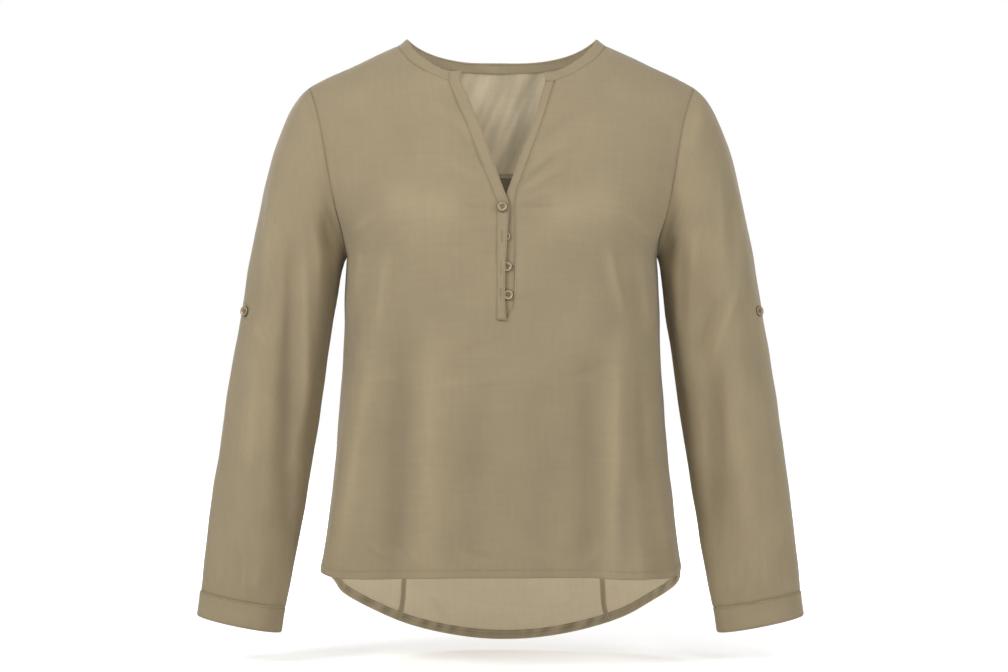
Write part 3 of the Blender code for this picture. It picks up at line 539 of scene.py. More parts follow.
    def normal(self, ring: float, around: float) -> Array:
        """Outward direction at one place, as if on the left."""
        place, turn = np.array([ring]), np.array([around])
        along = self.points(place + 0.05, turn) - self.points(place - 0.05, turn)
        round_it = self.points(place, turn + 1.0) - self.points(place, turn - 1.0)
        return unit(np.cross(round_it, along))[0, 0]

    def on_side(self, net: Array) -> Array:
        """A net made for the left, on its own side, with its normals still pointing out."""
        return net if self.side == Side.LEFT else net[:, ::-1] * np.array([-1.0, 1.0, 1.0])


# ---- creases


# Creases on the front and back of the body, seen from the front. Ridges are above 0.
# start x, start height, end x, end height, width, height out, bow
FRONT_CREASES: Table = in_mm(
    # hanging folds beside the bust
    (-122, -212, -137, -335, 5.5, 1.6, 2), (-151, -212, -160, -290, 5, 1.1, 1),
    (-134, -300, -184, -600, 8.5, 2, 2), (-106, -270, -125, -640, 15, -2.4, 2),
    (-73, -280, -76, -640, 14, 1.7, -2), (-26, -310, -40, -640, 15, -0.9, 3),
    (112, -212, 133, -305, 5.5, 1.6, -2), (130, -270, 117, -640, 10, 2.1, -3),
    (146, -218, 163, -335, 5, 1.2, -1), (93, -310, 92, -640, 13, -1.6, 2),
    (142, -430, 152, -620, 9, 1.3, 1), (147, -320, 150, -500, 6, -1.4, 1),
    (34, -330, 46, -640, 18, -0.8, 2),
    # drag lines from the top button and the V
    (10, -182, 78, -181, 2.2, -0.6, 0), (11, -178, 66, -163, 3, 0.6, 1),
    (12, -173, 74, -136, 4.2, 0.7, 2), (16, -166, 68, -119, 4.2, -0.7, 2),
    (20, -155, 84, -105, 5.2, 0.7, 3), (34, -120, 90, -75, 6, -0.6, 3),
    (-8, -180, -46, -182, 2.2, -0.5, 0), (-10, -172, -57, -158, 3.2, 0.5, -1),
    (-15, -162, -70, -128, 5.2, 0.6, -2), (-27, -132, -67, -78, 5.2, -0.8, -2),
    (-36, -109, -83, -63, 5.5, 0.8, -2),
    # belly and hem
    (-48, -336, -4, -320, 4, -0.3, -2), (-42, -345, 2, -329, 4, 0.2, -2),
    (-85, -372, 22, -355, 6, 0.5, -4), (-156, -374, -103, -362, 5, 0.6, 4),
    (58, -370, 150, -342, 6, -0.4, 4), (-5, -305, -30, -345, 4, 0.2, 1),
    (8, -303, 24, -345, 4, 0.2, -1), (-150, -535, -120, -559, 3.2, 0.6, 1),
    (-126, -530, -93, -557, 3.6, -0.6, 1), (-110, -540, -80, -564, 3.2, 0.5, 1),
    (-51, -536, -33, -566, 3.6, 0.6, 1), (-44, -546, -8, -556, 3, -0.5, 1),
    (38, -543, 54, -566, 3.4, 0.5, 1), (106, -537, 90, -564, 3.4, 0.6, 1),
    (144, -536, 164, -558, 3.4, -0.5, 1),
    # from the armpits to the bust
    (-164, -214, -130, -186, 5, 0.9, 1), (163, -214, 130, -184, 5, 0.9, -1),
    (-150, -192, -22, -194, 26, 1.9, 6), (24, -194, 154, -190, 26, 1.9, 6),
)
BACK_CREASES: Table = in_mm(
    (-150, -212, -118, -180, 6, 1, 1), (152, -214, 120, -182, 6, 1, -1),
    (-132, -260, -142, -420, 6.5, 1.4, 2), (128, -250, 141, -400, 6.5, 1.3, -2),
    (-40, -300, -52, -520, 11, 1.4, 2), (46, -320, 50, -560, 11, -1.3, 2),
    (4, -170, 10, -330, 12, 1, 2), (-70, -330, 18, -318, 5.5, 0.6, 4),
    (24, -352, 96, -372, 5.5, -0.6, 4), (-86, -415, -12, -430, 6, 0.5, -4),
    (-82, -610, -60, -640, 3.4, 0.6, 1), (10, -622, 28, -652, 3.6, -0.6, 1),
    (88, -598, 70, -632, 3.4, 0.6, 1),
    # under the back of the neck, slanting
    (-70, -36, -22, -132, 9, 0.6, 2), (-30, -34, 10, -118, 8, -0.5, 1), (8, -32, 44, -130, 9, 0.6, 2),
    (66, -38, 24, -128, 8.5, -0.5, 2), (-100, -30, -150, -70, 7, 0.9, 2),
    (102, -30, 150, -72, 7, 0.9, -2),
)
SLEEVE_CREASES: dict[tuple[Side, Half], Table] = {
    (Side.RIGHT, Half.FRONT): in_mm(
        (-251, -100, -259, -300, 5, 1.4, 1), (-213, -190, -212, -450, 5.5, 2, 1),
        (-228, -190, -231, -360, 6, -1.6, 1), (-231, -270, -233, -590, 9, -3, 2),
        (-250, -330, -256, -540, 7, 0.8, 2), (-270, -310, -275, -490, 12, 1.8, 2),
        (-223, -405, -229, -480, 4.5, 1.1, 1), (-194, -182, -184, -232, 4.5, -1.2, 1),
        (-204, -190, -196, -260, 5, 1.2, 1), (-278, -300, -250, -338, 5, 1, 2),
        (-262, -384, -232, -402, 4, 0.6, 2), (-283, -550, -285, -594, 3, -0.9, 1),
        (-263, -558, -265, -597, 3, 0.9, 1), (-302, -552, -307, -592, 3.2, 0.8, 1),
        (-248, -562, -250, -600, 3, -0.7, 0),
    ),
    (Side.LEFT, Half.FRONT): in_mm(
        (238, -120, 240, -260, 4.5, 1.2, -1), (257, -160, 259, -290, 4.5, 1.2, -1),
        (262, -252, 222, -372, 6.2, 2, -3), (197, -212, 197, -322, 5.2, -1.6, -1),
        (234, -272, 212, -345, 5.2, -1.5, -2), (233, -320, 234, -590, 8.5, -3, -2),
        (259, -400, 270, -545, 12, 1.5, -2), (246, -380, 244, -470, 5, 0.8, -1),
        (184, -205, 179, -242, 4.5, -1.1, -1), (210, -196, 205, -262, 5, 1.2, -1),
        (263, -552, 265, -594, 3, -0.9, -1), (283, -550, 287, -594, 3.2, 0.9, -1),
        (246, -562, 248, -599, 3, 0.7, 0), (301, -556, 305, -590, 3, -0.7, 0),
    ),
    (Side.RIGHT, Half.BACK): in_mm(
        (-212, -176, -196, -245, 6, 1.6, 1), (-248, -165, -242, -300, 7, -1.4, 2),
        (-285, -330, -222, -352, 6, 1.6, 4), (-288, -356, -232, -372, 5.5, -1.2, 4),
        (-292, -382, -240, -392, 5, 1, 3), (-262, -410, -276, -560, 9, 1.7, 2),
        (-286, -548, -289, -594, 3, 0.9, 1), (-264, -554, -267, -598, 3, -0.9, 1),
    ),
    (Side.LEFT, Half.BACK): in_mm(
        (214, -172, 197, -248, 6, 1.6, -1), (246, -170, 240, -290, 7, -1.4, -2),
        (282, -322, 220, -346, 6, 1.6, -4), (286, -350, 228, -366, 5.5, -1.2, -4),
        (260, -400, 272, -556, 9, 1.6, -2), (284, -550, 287, -594, 3, 0.9, -1),
        (258, -556, 261, -598, 3, -0.9, -1),
    ),
}
CREASE_FADE = 0.35      # share of a crease's length over which each end fades out
BODY_DEPTH = 1.9        # of the heights in the body's tables
SLEEVE_DEPTH = 1.3      # of the heights in the sleeves' tables


def crease_lift(points: Array, creases: Table, depth: float) -> Array:
    """How far the listed creases lift the points, seen square to the picture's plane.

    Args:
        points: Points of the cloth.
        creases: Rows of start x, start height, end x, end height, width, height out and bow.
        depth: Share of the tables' heights.

    Returns:
        The lift of each point.
    """
    lift = np.zeros(points.shape[:-1])
    x, z = points[..., 0], points[..., 2]
    for x0, z0, x1, z1, width, height, bow in creases:
        length = math.hypot(x1 - x0, z1 - z0)
        run_x, run_z = (x1 - x0) / length, (z1 - z0) / length
        along = ((x - x0) * run_x + (z - z0) * run_z) / length
        across = (z - z0) * run_x - (x - x0) * run_z
        inside = np.clip(along, 0, 1)
        away = across - bow * 4 * inside * (1 - inside)
        fade = ease(along / CREASE_FADE) * ease((1 - along) / CREASE_FADE)
        lift += depth * height * fade * bell(away, width)
    return lift


def ripple(points: Array, height: float = 0.45 * MM, wavelength: float = 0.055) -> Array:
    """Faint unevenness of soft cloth, from slow waves in different directions.

    It depends on the place alone, so that it runs on over the seams.

    Args:
        points: Points of the cloth.
        height: Usual height of the unevenness.
        wavelength: Usual distance from crest to crest.

    Returns:
        The lift of each point.
    """
    waves = 14
    chance = np.random.default_rng(3)
    lift = np.zeros(points.shape[:-1])
    for _ in range(waves):
        direction = unit(chance.normal(size=3))
        scale = wavelength * chance.uniform(0.6, 1.7)
        lift += np.sin(points @ direction * FULL_TURN / scale + chance.uniform(0, FULL_TURN))
    return height * lift / math.sqrt(waves)


@dataclass(frozen=True)
class EdgeWork:
    """Heights of the cloth beside a finished edge, by the distance from it."""

    dip: float = 0.30 * MM          # a seam pulls the cloth in
    dip_width: float = 1.3 * MM
    allowance: float = 8 * MM       # a seam allowance underneath
    allowance_lift: float = 0.14 * MM
    hem: float = 9.5 * MM           # depth of a hem
    hem_lift: float = 0.25 * MM
    hem_groove: float = 0.22 * MM
    roll: float = 0.45 * MM         # a folded edge curls in
    roll_width: float = 0.9 * MM
    hem_step: float = 1.6 * MM
    pucker: float = 0.20 * MM
    pucker_pitch: float = 11 * MM
    seam_pucker: float = 0.5        # of the pucker, along a seam
    seam_pucker_width: float = 4 * MM
    hem_pucker: float = 2.0
    hem_pucker_width: float = 6 * MM

    def lift(self, work: Work, away: Array, run: Array) -> Array:
        """Height of the cloth at each distance from an edge.

        Args:
            work: How the edge is finished.
            away: Distances from the edge.
            run: Distances along it.

        Returns:
            The lift, above 0 outwards.
        """
        phase = run / self.pucker_pitch + 0.35 * np.sin(run / (2.3 * self.pucker_pitch))
        pucker = self.pucker * np.sin(FULL_TURN * phase) * (0.55 + 0.45 * np.sin(run / 0.031))
        if work == Work.SEAM:
            dip = self.dip * bell(away, self.dip_width)
            under = self.allowance_lift * (1 - ease(away / self.allowance - 0.6))
            return under - dip + self.seam_pucker * pucker * bell(away, self.seam_pucker_width)
        from_stitches = away - self.hem + MM
        turned = self.hem_lift * (1 - ease(from_stitches / self.hem_step))
        groove = self.hem_groove * bell(from_stitches, MM)
        roll = self.roll * bell(away, self.roll_width)
        hem_pucker = self.hem_pucker * pucker * bell(away - self.hem, self.hem_pucker_width)
        return turned - groove - roll + hem_pucker


# ---- finishes


def new_group(name: str, inputs: dict[str, str], outputs: dict[str, str]) -> ShaderNodeTree:
    """A shader node group with named sockets.

    Args:
        name: Its name.
        inputs: Socket types by input name.
        outputs: Socket types by output name.

    Returns:
        The group, with an input and an output node called In and Out.
    """
    group = bpy.data.node_groups.new(name, "ShaderNodeTree")
    for label, kind in inputs.items():
        group.interface.new_socket(label, in_out="INPUT", socket_type=kind)
    for label, kind in outputs.items():
        group.interface.new_socket(label, in_out="OUTPUT", socket_type=kind)
    group.nodes.new("NodeGroupInput").name = "In"
    group.nodes.new("NodeGroupOutput").name = "Out"
    return group


@dataclass
class Wiring:
    """Adds and joins nodes in one node tree."""

    tree: NodeTree

    def feed(self, node: Node, **sockets: object) -> None:
        """Links or sets a node's inputs.

        Args:
            node: The node.
            **sockets: Output sockets or values, by the input's name. in_0 is the first input.
        """
        for word, value in sockets.items():
            socket = node.inputs[int(word[3:]) if word.startswith("in_") else word.replace("_", " ")]
            if isinstance(value, NodeSocket):
                self.tree.links.new(value, socket)
            else:
                socket.default_value = value

    def add(self, kind: str, **words: object) -> Node:
        """A new node.

        Args:
            kind: The node's type, without ShaderNode.
            **words: Its properties, and its inputs as feed takes them.

        Returns:
            The node.
        """
        node = self.tree.nodes.new("ShaderNode" + kind)
        own = [word for word in words if not word.startswith("in_") and hasattr(node, word)]
        for word in own:
            setattr(node, word, words[word])
        self.feed(node, **{word: value for word, value in words.items() if word not in own})
        return node

    def maths(self, operation: str, *values: object) -> NodeSocket:
        """The result of a Math node."""
        sockets = {f"in_{number}": value for number, value in enumerate(values)}
        return self.add("Math", operation=operation, **sockets).outputs[0]

    def between(self, value: NodeSocket, start: float, end: float) -> NodeSocket:
        """0 to 1 as a value goes from start to end."""
        return self.add("MapRange", Value=value, From_Min=start, From_Max=end).outputs[0]

    def noise(self, place: NodeSocket, scale: object, detail: float) -> NodeSocket:
        """Soft noise about 0.5."""
        return self.add("TexNoise", Vector=place, Scale=scale, Detail=detail).outputs["Fac"]

    def blend(self, share: NodeSocket, first: object, second: object, how: str = "MIX") -> NodeSocket:
        """A share of the second colour on the first."""
        mix = self.add("Mix", data_type="RGBA", blend_type=how, in_0=share, in_6=first, in_7=second)
        return mix.outputs[2]

    def spread(self, value: NodeSocket, low: float, high: float) -> NodeSocket:
        """A value from 0 to 1 laid out from low to high."""
        return self.maths("MULTIPLY_ADD", value, high - low, low)


class Effects:
    """The shader node groups that the finishes share, each built once."""

    def __init__(self) -> None:
        """Builds the groups."""
        self.weave = self.plain_weave()
        self.mottle = self.soft_mottle()

    @staticmethod
    def plain_weave() -> ShaderNodeTree:
        """Threads over and under each other, in metres of cloth, slightly uneven."""
        group = new_group(
            "plain_weave",
            {"Cloth": "NodeSocketVector", "Thread": "NodeSocketFloat", "Unevenness": "NodeSocketFloat"},
            {"Height": "NodeSocketFloat", "Slub": "NodeSocketFloat", "Streak": "NodeSocketFloat"},
        )
        wire, given = Wiring(group), group.nodes["In"].outputs
        bend = wire.maths("SUBTRACT", wire.noise(given["Cloth"], 160.0, 2.0), 0.5)
        shift = wire.maths("MULTIPLY", bend, given["Unevenness"])
        parts = wire.add("SeparateXYZ", Vector=given["Cloth"]).outputs
        waves = []
        for axis in ("X", "Y"):
            moved = wire.maths("ADD", wire.maths("DIVIDE", parts[axis], given["Thread"]), shift)
            waves.append(wire.maths("SINE", wire.maths("MULTIPLY", moved, math.pi)))
        crossing = wire.maths("MULTIPLY", *waves)
        slub, *streaks = (
            wire.noise(wire.add("Mapping", Vector=given["Cloth"], Scale=drawn).outputs[0], scale, detail)
            for drawn, scale, detail in (
                ((1.0, 0.07, 1.0), 1400.0, 2.0),
                ((1.0, 0.10, 1.0), 210.0, 3.0),
                ((0.10, 1.0, 1.0), 210.0, 3.0),
            )
        )
        wire.feed(
            group.nodes["Out"], Height=wire.spread(crossing, 0.5, 1.0), Slub=slub,
            Streak=wire.maths("MULTIPLY", wire.maths("ADD", *streaks), 0.5),
        )
        return group

    @staticmethod
    def soft_mottle() -> ShaderNodeTree:
        """Broad and fine unevenness of a dyed or natural surface, from 0 to 1."""
        group = new_group(
            "soft_mottle",
            {"Place": "NodeSocketVector", "Broad": "NodeSocketFloat", "Fine": "NodeSocketFloat"},
            {"Broad": "NodeSocketFloat", "Fine": "NodeSocketFloat"},
        )
        wire, given = Wiring(group), group.nodes["In"].outputs
        for word, detail in (("Broad", 3.0), ("Fine", 4.0)):
            wire.feed(group.nodes["Out"], **{word: wire.noise(given["Place"], given[word], detail)})
        return group


def tint(colour: tuple[float, float, float], share: float = 1.0) -> tuple[float, ...]:
    """A share of a colour, opaque."""
    return (*(share * part for part in colour), 1.0)


def new_material(name: str) -> tuple[Material, Wiring, Node]:
    """A material, its wiring and its Principled BSDF."""
    material = bpy.data.materials.new(name)
    material.use_nodes = True
    return material, Wiring(material.node_tree), material.node_tree.nodes["Principled BSDF"]


@dataclass(frozen=True)
class ClothFinish:
    """Soft plain-weave viscose crepe: matt, with a faint sheen and an uneven dye.

    Colours are linear. A seam attribute on the mesh, 1 on a seam, paints shade on the cloth there, and a
    relief attribute paints highlights on ridges and shade in hollows.
    """

    name: str
    colour: tuple[float, float, float]
    shade: float = 0.84         # of the colour where the dye is darkest
    seam_painted_shade: float = 0.84    # of the colour where the painted seam shade is full
    roughness: float = 0.82
    sheen: float = 0.22
    glow: float = 0.0           # painted light: emission that stands in for the light that comes through the thin cloth
    deep_painted_shade: float = 1.0           # painted shade: share of the colour and glow deep inside, away from the neck and the hem
    streaks: float = 0.0        # how much painted light and shade of folds that slant down from the neck streak the cloth
    painted_relief_shade: float = 0.15        # painted highlight on ridges and painted shade in hollows, as a share of the colour
    hem_painted_light: float = 1.32     # painted light: how light the inside is at the hem, where it is 1 under the neck
    # Heights where the painted light inside starts: above the yoke seam, and growing towards the hem
    yoke_z: float = -0.139
    hem_z: tuple[float, float] = (-0.40, -0.54)
    thread: float = 0.42 * MM
    weave_depth: float = 0.03 * MM
    crepe_depth: float = 0.16 * MM
    broad: float = 14.0         # mottles a metre
    fine: float = 620.0

    def make(self, effects: Effects) -> Material:
        """The material.

        Args:
            effects: The shared node groups.

        Returns:
            It, with every slot of its surface set.
        """
        material, wire, shader = new_material(self.name)
        cloth = wire.add("UVMap", uv_map="cut").outputs[0]
        place = wire.add("TexCoord").outputs["Object"]
        weave = wire.add("Group", node_tree=effects.weave, Cloth=cloth, Thread=self.thread, Unevenness=0.5)
        mottle = wire.add("Group", node_tree=effects.mottle, Place=place, Broad=self.broad, Fine=self.fine)
        seam = wire.add("Attribute", attribute_name="seam").outputs["Fac"]
        painted_relief_shade = wire.add("Attribute", attribute_name="painted_relief_shade").outputs["Fac"]
        threads = wire.maths("MULTIPLY_ADD", weave.outputs["Slub"], 0.35, weave.outputs["Streak"])
        threads = wire.maths("MULTIPLY_ADD", threads, 0.62, -0.218)
        dye = wire.maths("MULTIPLY_ADD", mottle.outputs["Broad"], 0.60, threads)
        colour = wire.blend(dye, tint(self.colour, self.shade), tint(self.colour, 2 - self.shade))
        # Painted shade on seams, then a painted highlight on ridges and painted shade in hollows
        sewn = wire.blend(seam, colour, tint((1.0, 1.0, 0.98), self.seam_painted_shade), "MULTIPLY")
        light = wire.maths("MULTIPLY_ADD", painted_relief_shade, self.painted_relief_shade, 1.0)
        # The inside gets painted light at the neck and the hem and painted shade deep inside
        if self.deep_painted_shade < 1:
            light = wire.maths("MULTIPLY", light, self.inner_light(wire, place))
        shown = wire.add("VectorMath", operation="SCALE", in_0=sewn, Scale=light).outputs[0]
        crepe = wire.add("Bump", Height=mottle.outputs["Fine"], Distance=self.crepe_depth, Strength=0.6)
        woven = wire.add(
            "Bump", Height=weave.outputs["Height"], Distance=self.weave_depth, Strength=0.5,
            Normal=crepe.outputs[0],
        )
        # Emission_Strength paints light: the cloth glows with a share of its shown colour
        wire.feed(
            shader, Base_Color=shown, Specular_IOR_Level=0.30, Sheen_Weight=self.sheen,
            Sheen_Roughness=0.45,
            Roughness=wire.spread(mottle.outputs["Fine"], self.roughness - 0.06, self.roughness + 0.06),
            Emission_Color=shown, Emission_Strength=self.glow, Normal=woven.outputs[0],
        )
        return material

    def inner_light(self, wire: Wiring, place: NodeSocket) -> NodeSocket:
        """Painted light and shade on the cloth's inside: lighter where light comes in at the neck and the
        hem, darker deep inside, with painted fold streaks under the neck.
        """
        parts = wire.add("SeparateXYZ", Vector=place).outputs
        yoke = wire.between(parts["Z"], self.yoke_z, self.yoke_z + 2 * MM)
        hem = wire.between(parts["Z"], *self.hem_z)
        across = wire.maths("MULTIPLY", wire.maths("MULTIPLY_ADD", parts["Z"], -0.42, parts["X"]), 46.0)
        down = wire.maths("MULTIPLY", parts["Z"], 7.0)
        folds = wire.noise(wire.add("CombineXYZ", X=across, Z=down).outputs[0], 1.0, 1.5)
        sharp = wire.spread(wire.between(folds, 0.35, 0.65), -self.streaks, self.streaks)
        shade = wire.maths("MULTIPLY_ADD", sharp, yoke, 1.0)
        lit = wire.maths("MAXIMUM", yoke, wire.maths("MULTIPLY", hem, self.hem_painted_light))
        return wire.maths("MULTIPLY", wire.spread(lit, self.deep_painted_shade, 1.0), shade)


@dataclass(frozen=True)
class HornFinish:
    """Polished resin like horn, with soft streaks, and painted shade where the mesh's attribute marks it."""

    name: str
    light: tuple[float, float, float]
    dark: tuple[float, float, float]
    edge: tuple[float, float, float]    # colour of the painted shade at the button's edges and holes, where the mesh's attribute for it is 1
    roughness: float = 0.30

    def make(self, effects: Effects) -> Material:
        """The material, from the shared node groups."""
        material, wire, shader = new_material(self.name)
        place = wire.add("TexCoord").outputs["Object"]
        turned = wire.add("Mapping", Vector=place, Rotation=(0.4, 0.3, 0.8), Scale=(1.0, 1.0, 0.25))
        mottle = wire.add(
            "Group", node_tree=effects.mottle, Place=turned.outputs[0], Broad=420.0, Fine=1900.0
        ).outputs
        streak = wire.between(mottle["Broad"], 0.32, 0.68)
        # Painted shade at the button's edge, sides and holes, from the mesh's attribute
        painted_button_shade = wire.add("Attribute", attribute_name="painted_button_shade").outputs["Fac"]
        face = wire.blend(streak, tint(self.dark), tint(self.light))
        wire.feed(
            shader, Coat_Weight=0.12, Coat_Roughness=0.20, Base_Color=wire.blend(painted_button_shade, face, tint(self.edge)),
            Roughness=wire.spread(mottle["Fine"], self.roughness - 0.05, self.roughness + 0.10),
        )
        return material


@dataclass(frozen=True)
class FloorFinish:
    """The studio's white floor, which glows a little so that only soft shadows show on it."""

    name: str = "studio_white"
    colour: tuple[float, float, float] = (0.80, 0.80, 0.80)
    glow: float = 0.49
    far_glow: float = 1.0
    reach: tuple[float, float] = (0.7, 1.6)     # radii between which the glow rises

    def make(self) -> Material:
        """The material."""
        material, wire, shader = new_material(self.name)
        place = wire.add("TexCoord").outputs["Object"]
        radius = wire.add("VectorMath", operation="LENGTH", in_0=place).outputs["Value"]
        glow = wire.spread(wire.between(radius, *self.reach), self.glow, self.far_glow)
        wire.feed(
            shader, Base_Color=tint(self.colour), Roughness=1.0, Specular_IOR_Level=0.0,
            Emission_Color=tint((1.0, 1.0, 1.0)),
            Emission_Strength=wire.maths("MULTIPLY", wire.add("LightPath").outputs["Is Camera Ray"], glow),
        )
        return material


# ---- making pieces


def smooth_mesh(name: str, made: BMesh) -> Mesh:
    """A mesh with smooth faces from a finished bmesh, which is freed."""
    mesh = bpy.data.meshes.new(name)
    made.to_mesh(mesh)
    made.free()
    mesh.shade_smooth()
    return mesh


@dataclass
class Wardrobe:
    """Makes Blender objects of nets and small shapes, and hides the CAD solid that a piece stands for."""

    outside: Material
    inside: Material
    turned: Material
    thread: Material
    horn: Material
    cloth: float = 0.7 * MM
    doubled: float = 1.5 * MM
    seam_gap: float = 0.10 * MM     # each piece stops this far short of its seam line
    seam_reach: float = 1.4 * MM    # how far a seam's painted shade reaches
    groove_reach: float = 1.2 * MM  # how far the painted shade of a hem's stitches reaches
    groove_painted_shade: float = 0.35      # share of a seam's painted shade at a hem's stitches
    full_relief: float = 4.0 * MM   # height of a crease that gets the full painted highlight or shade

    def mesh_of(self, name: str, net: Net, missing: Array | None, seam: Array | None) -> Mesh:
        """A mesh through a net, with the flat cut as its UV map.

        Args:
            name: The mesh's name.
            net: Its points.
            missing: Which of the net's cells are left out.
            seam: How much painted seam shade each point has.

        Returns:
            The mesh.
        """
        rows, columns = net.points.shape[:2]
        across, along = net.across(), net.along()
        across -= across[:, columns // 2][:, None]
        made = bmesh.new()
        bmesh.ops.create_grid(made, x_segments=columns - 1, y_segments=rows - 1, size=1.0)
        cut = made.loops.layers.uv.new("cut")
        shade = made.verts.layers.float.new("seam")
        painted_relief_shade = made.verts.layers.float.new("painted_relief_shade")
        place = {}
        for vert in made.verts:
            row = round((vert.co.y + 1) / 2 * (rows - 1))
            column = round((vert.co.x + 1) / 2 * (columns - 1))
            place[vert] = (row, column)
            vert.co = net.points[row, column]
            vert[shade] = 0.0 if seam is None else float(seam[row, column])
            vert[painted_relief_shade] = 0.0 if net.painted_relief_shade is None else float(np.clip(net.painted_relief_shade[row, column], -1, 1))
        unused = []
        for face in made.faces:
            corners = [place[loop.vert] for loop in face.loops]
            for loop, (row, column) in zip(face.loops, corners):
                loop[cut].uv = (across[row, column], along[row, column])
            if missing is not None and missing[min(c[0] for c in corners), min(c[1] for c in corners)]:
                unused.append(face)
        bmesh.ops.delete(made, geom=unused, context="FACES")
        if net.closed:
            bmesh.ops.remove_doubles(made, verts=made.verts, dist=0.01 * MM)
        return smooth_mesh(name, made)

    def cloth_piece(
        self,
        name: str,
        net: Net,
        thickness: float,
        node: str | None = None,
        missing: Array | None = None,
        seam: Array | None = None,
        rounded: float = 0.0,
        inner: bool = False,
    ) -> Object:
        """A piece of cloth whose outer face is the net.

        Args:
            name: The object's name.
            net: Its outer face.
            thickness: Of the cloth, on the inside of the net.
            node: The CAD node that it stands for.
            missing: Which of the net's cells are left out.
            seam: How much painted seam shade each point has.
            rounded: Radius of its edges, where they show.
            inner: Whether it is turned-in cloth, seen on the inside.

        Returns:
            The object.
        """
        mesh = self.mesh_of(name, net, missing, seam)
        mesh.materials.append(self.turned if inner else self.outside)
        mesh.materials.append(self.turned if inner or rounded else self.inside)
        piece = bpy.data.objects.new(name, mesh)
        wall = piece.modifiers.new("thickness", "SOLIDIFY")
        wall.thickness = thickness
        wall.offset = -1.0
        wall.use_even_offset = rounded > 0
        wall.use_quality_normals = True
        wall.material_offset = 1
        wall.material_offset_rim = 0
        if rounded:
            soft = piece.modifiers.new("rounded_edges", "BEVEL")
            soft.width = rounded
            soft.segments = 2
            soft.limit_method = "ANGLE"
            soft.angle_limit = math.radians(55)
        return self.adopt(piece, "taupe_cloth", node)

    def adopt(self, piece: Object, slot: str, node: str | None = None) -> Object:
        """Puts a piece into the scene, on the blouse's one body."""
        bpy.context.scene.collection.objects.link(piece)
        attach(piece, "root")
        if node:
            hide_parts(node)
        log.info("%s: %d points", piece.name, len(piece.data.vertices))
        return piece

    def mesh_piece(self, name: str, made: BMesh, material: Material) -> Object:
        """A piece from a finished bmesh, in the blouse's cloth or thread."""
        mesh = smooth_mesh(name, made)
        mesh.materials.append(material)
        return self.adopt(bpy.data.objects.new(name, mesh), "taupe_cloth")

    def short_of_seams(self, net: Net) -> Net:
        """The net with its edges drawn in by the seam gap."""
        points = net.points.copy()
        for edge in Edge:
            sideways = edge in (Edge.START, Edge.END)
            lines = points.transpose(1, 0, 2) if sideways else points
            own, other = (0, 1) if edge in (Edge.FOOT, Edge.START) else (-1, -2)
            step = lines[other] - lines[own]
            room = np.linalg.norm(step, axis=-1, keepdims=True) / 3
            lines[own] += unit(step) * np.minimum(room, self.seam_gap)
        return Net(points, net.closed, net.painted_relief_shade)

    def panel(self, net: Net, works: dict[Edge, Work], extra: Array) -> tuple[Net, Array]:
        """A panel's outer face with its finished edges.

        Args:
            net: The panel's form.
            works: How each edge is finished.
            extra: Lift from creases.

        Returns:
            The finished net, and how much painted seam shade each point has.
        """
        heights = EdgeWork()
        # The creases' height sets the painted highlight and shade of the cloth
        net = Net(net.points, net.closed, extra / self.full_relief)
        total, seam = extra.copy(), np.zeros(extra.shape)
        for edge, work in works.items():
            away = net.away(edge)
            run = net.across() if edge in (Edge.FOOT, Edge.HEAD) else net.along()
            total += heights.lift(work, away, run)
            # Painted shade along each seam, and a share of it along a hem's stitches
            if work == Work.SEAM:
                seam = np.maximum(seam, bell(away, self.seam_reach))
            else:
                groove = bell(away - heights.hem + MM, self.groove_reach)
                seam = np.maximum(seam, self.groove_painted_shade * groove)
        return self.short_of_seams(net.lifted(total)), seam


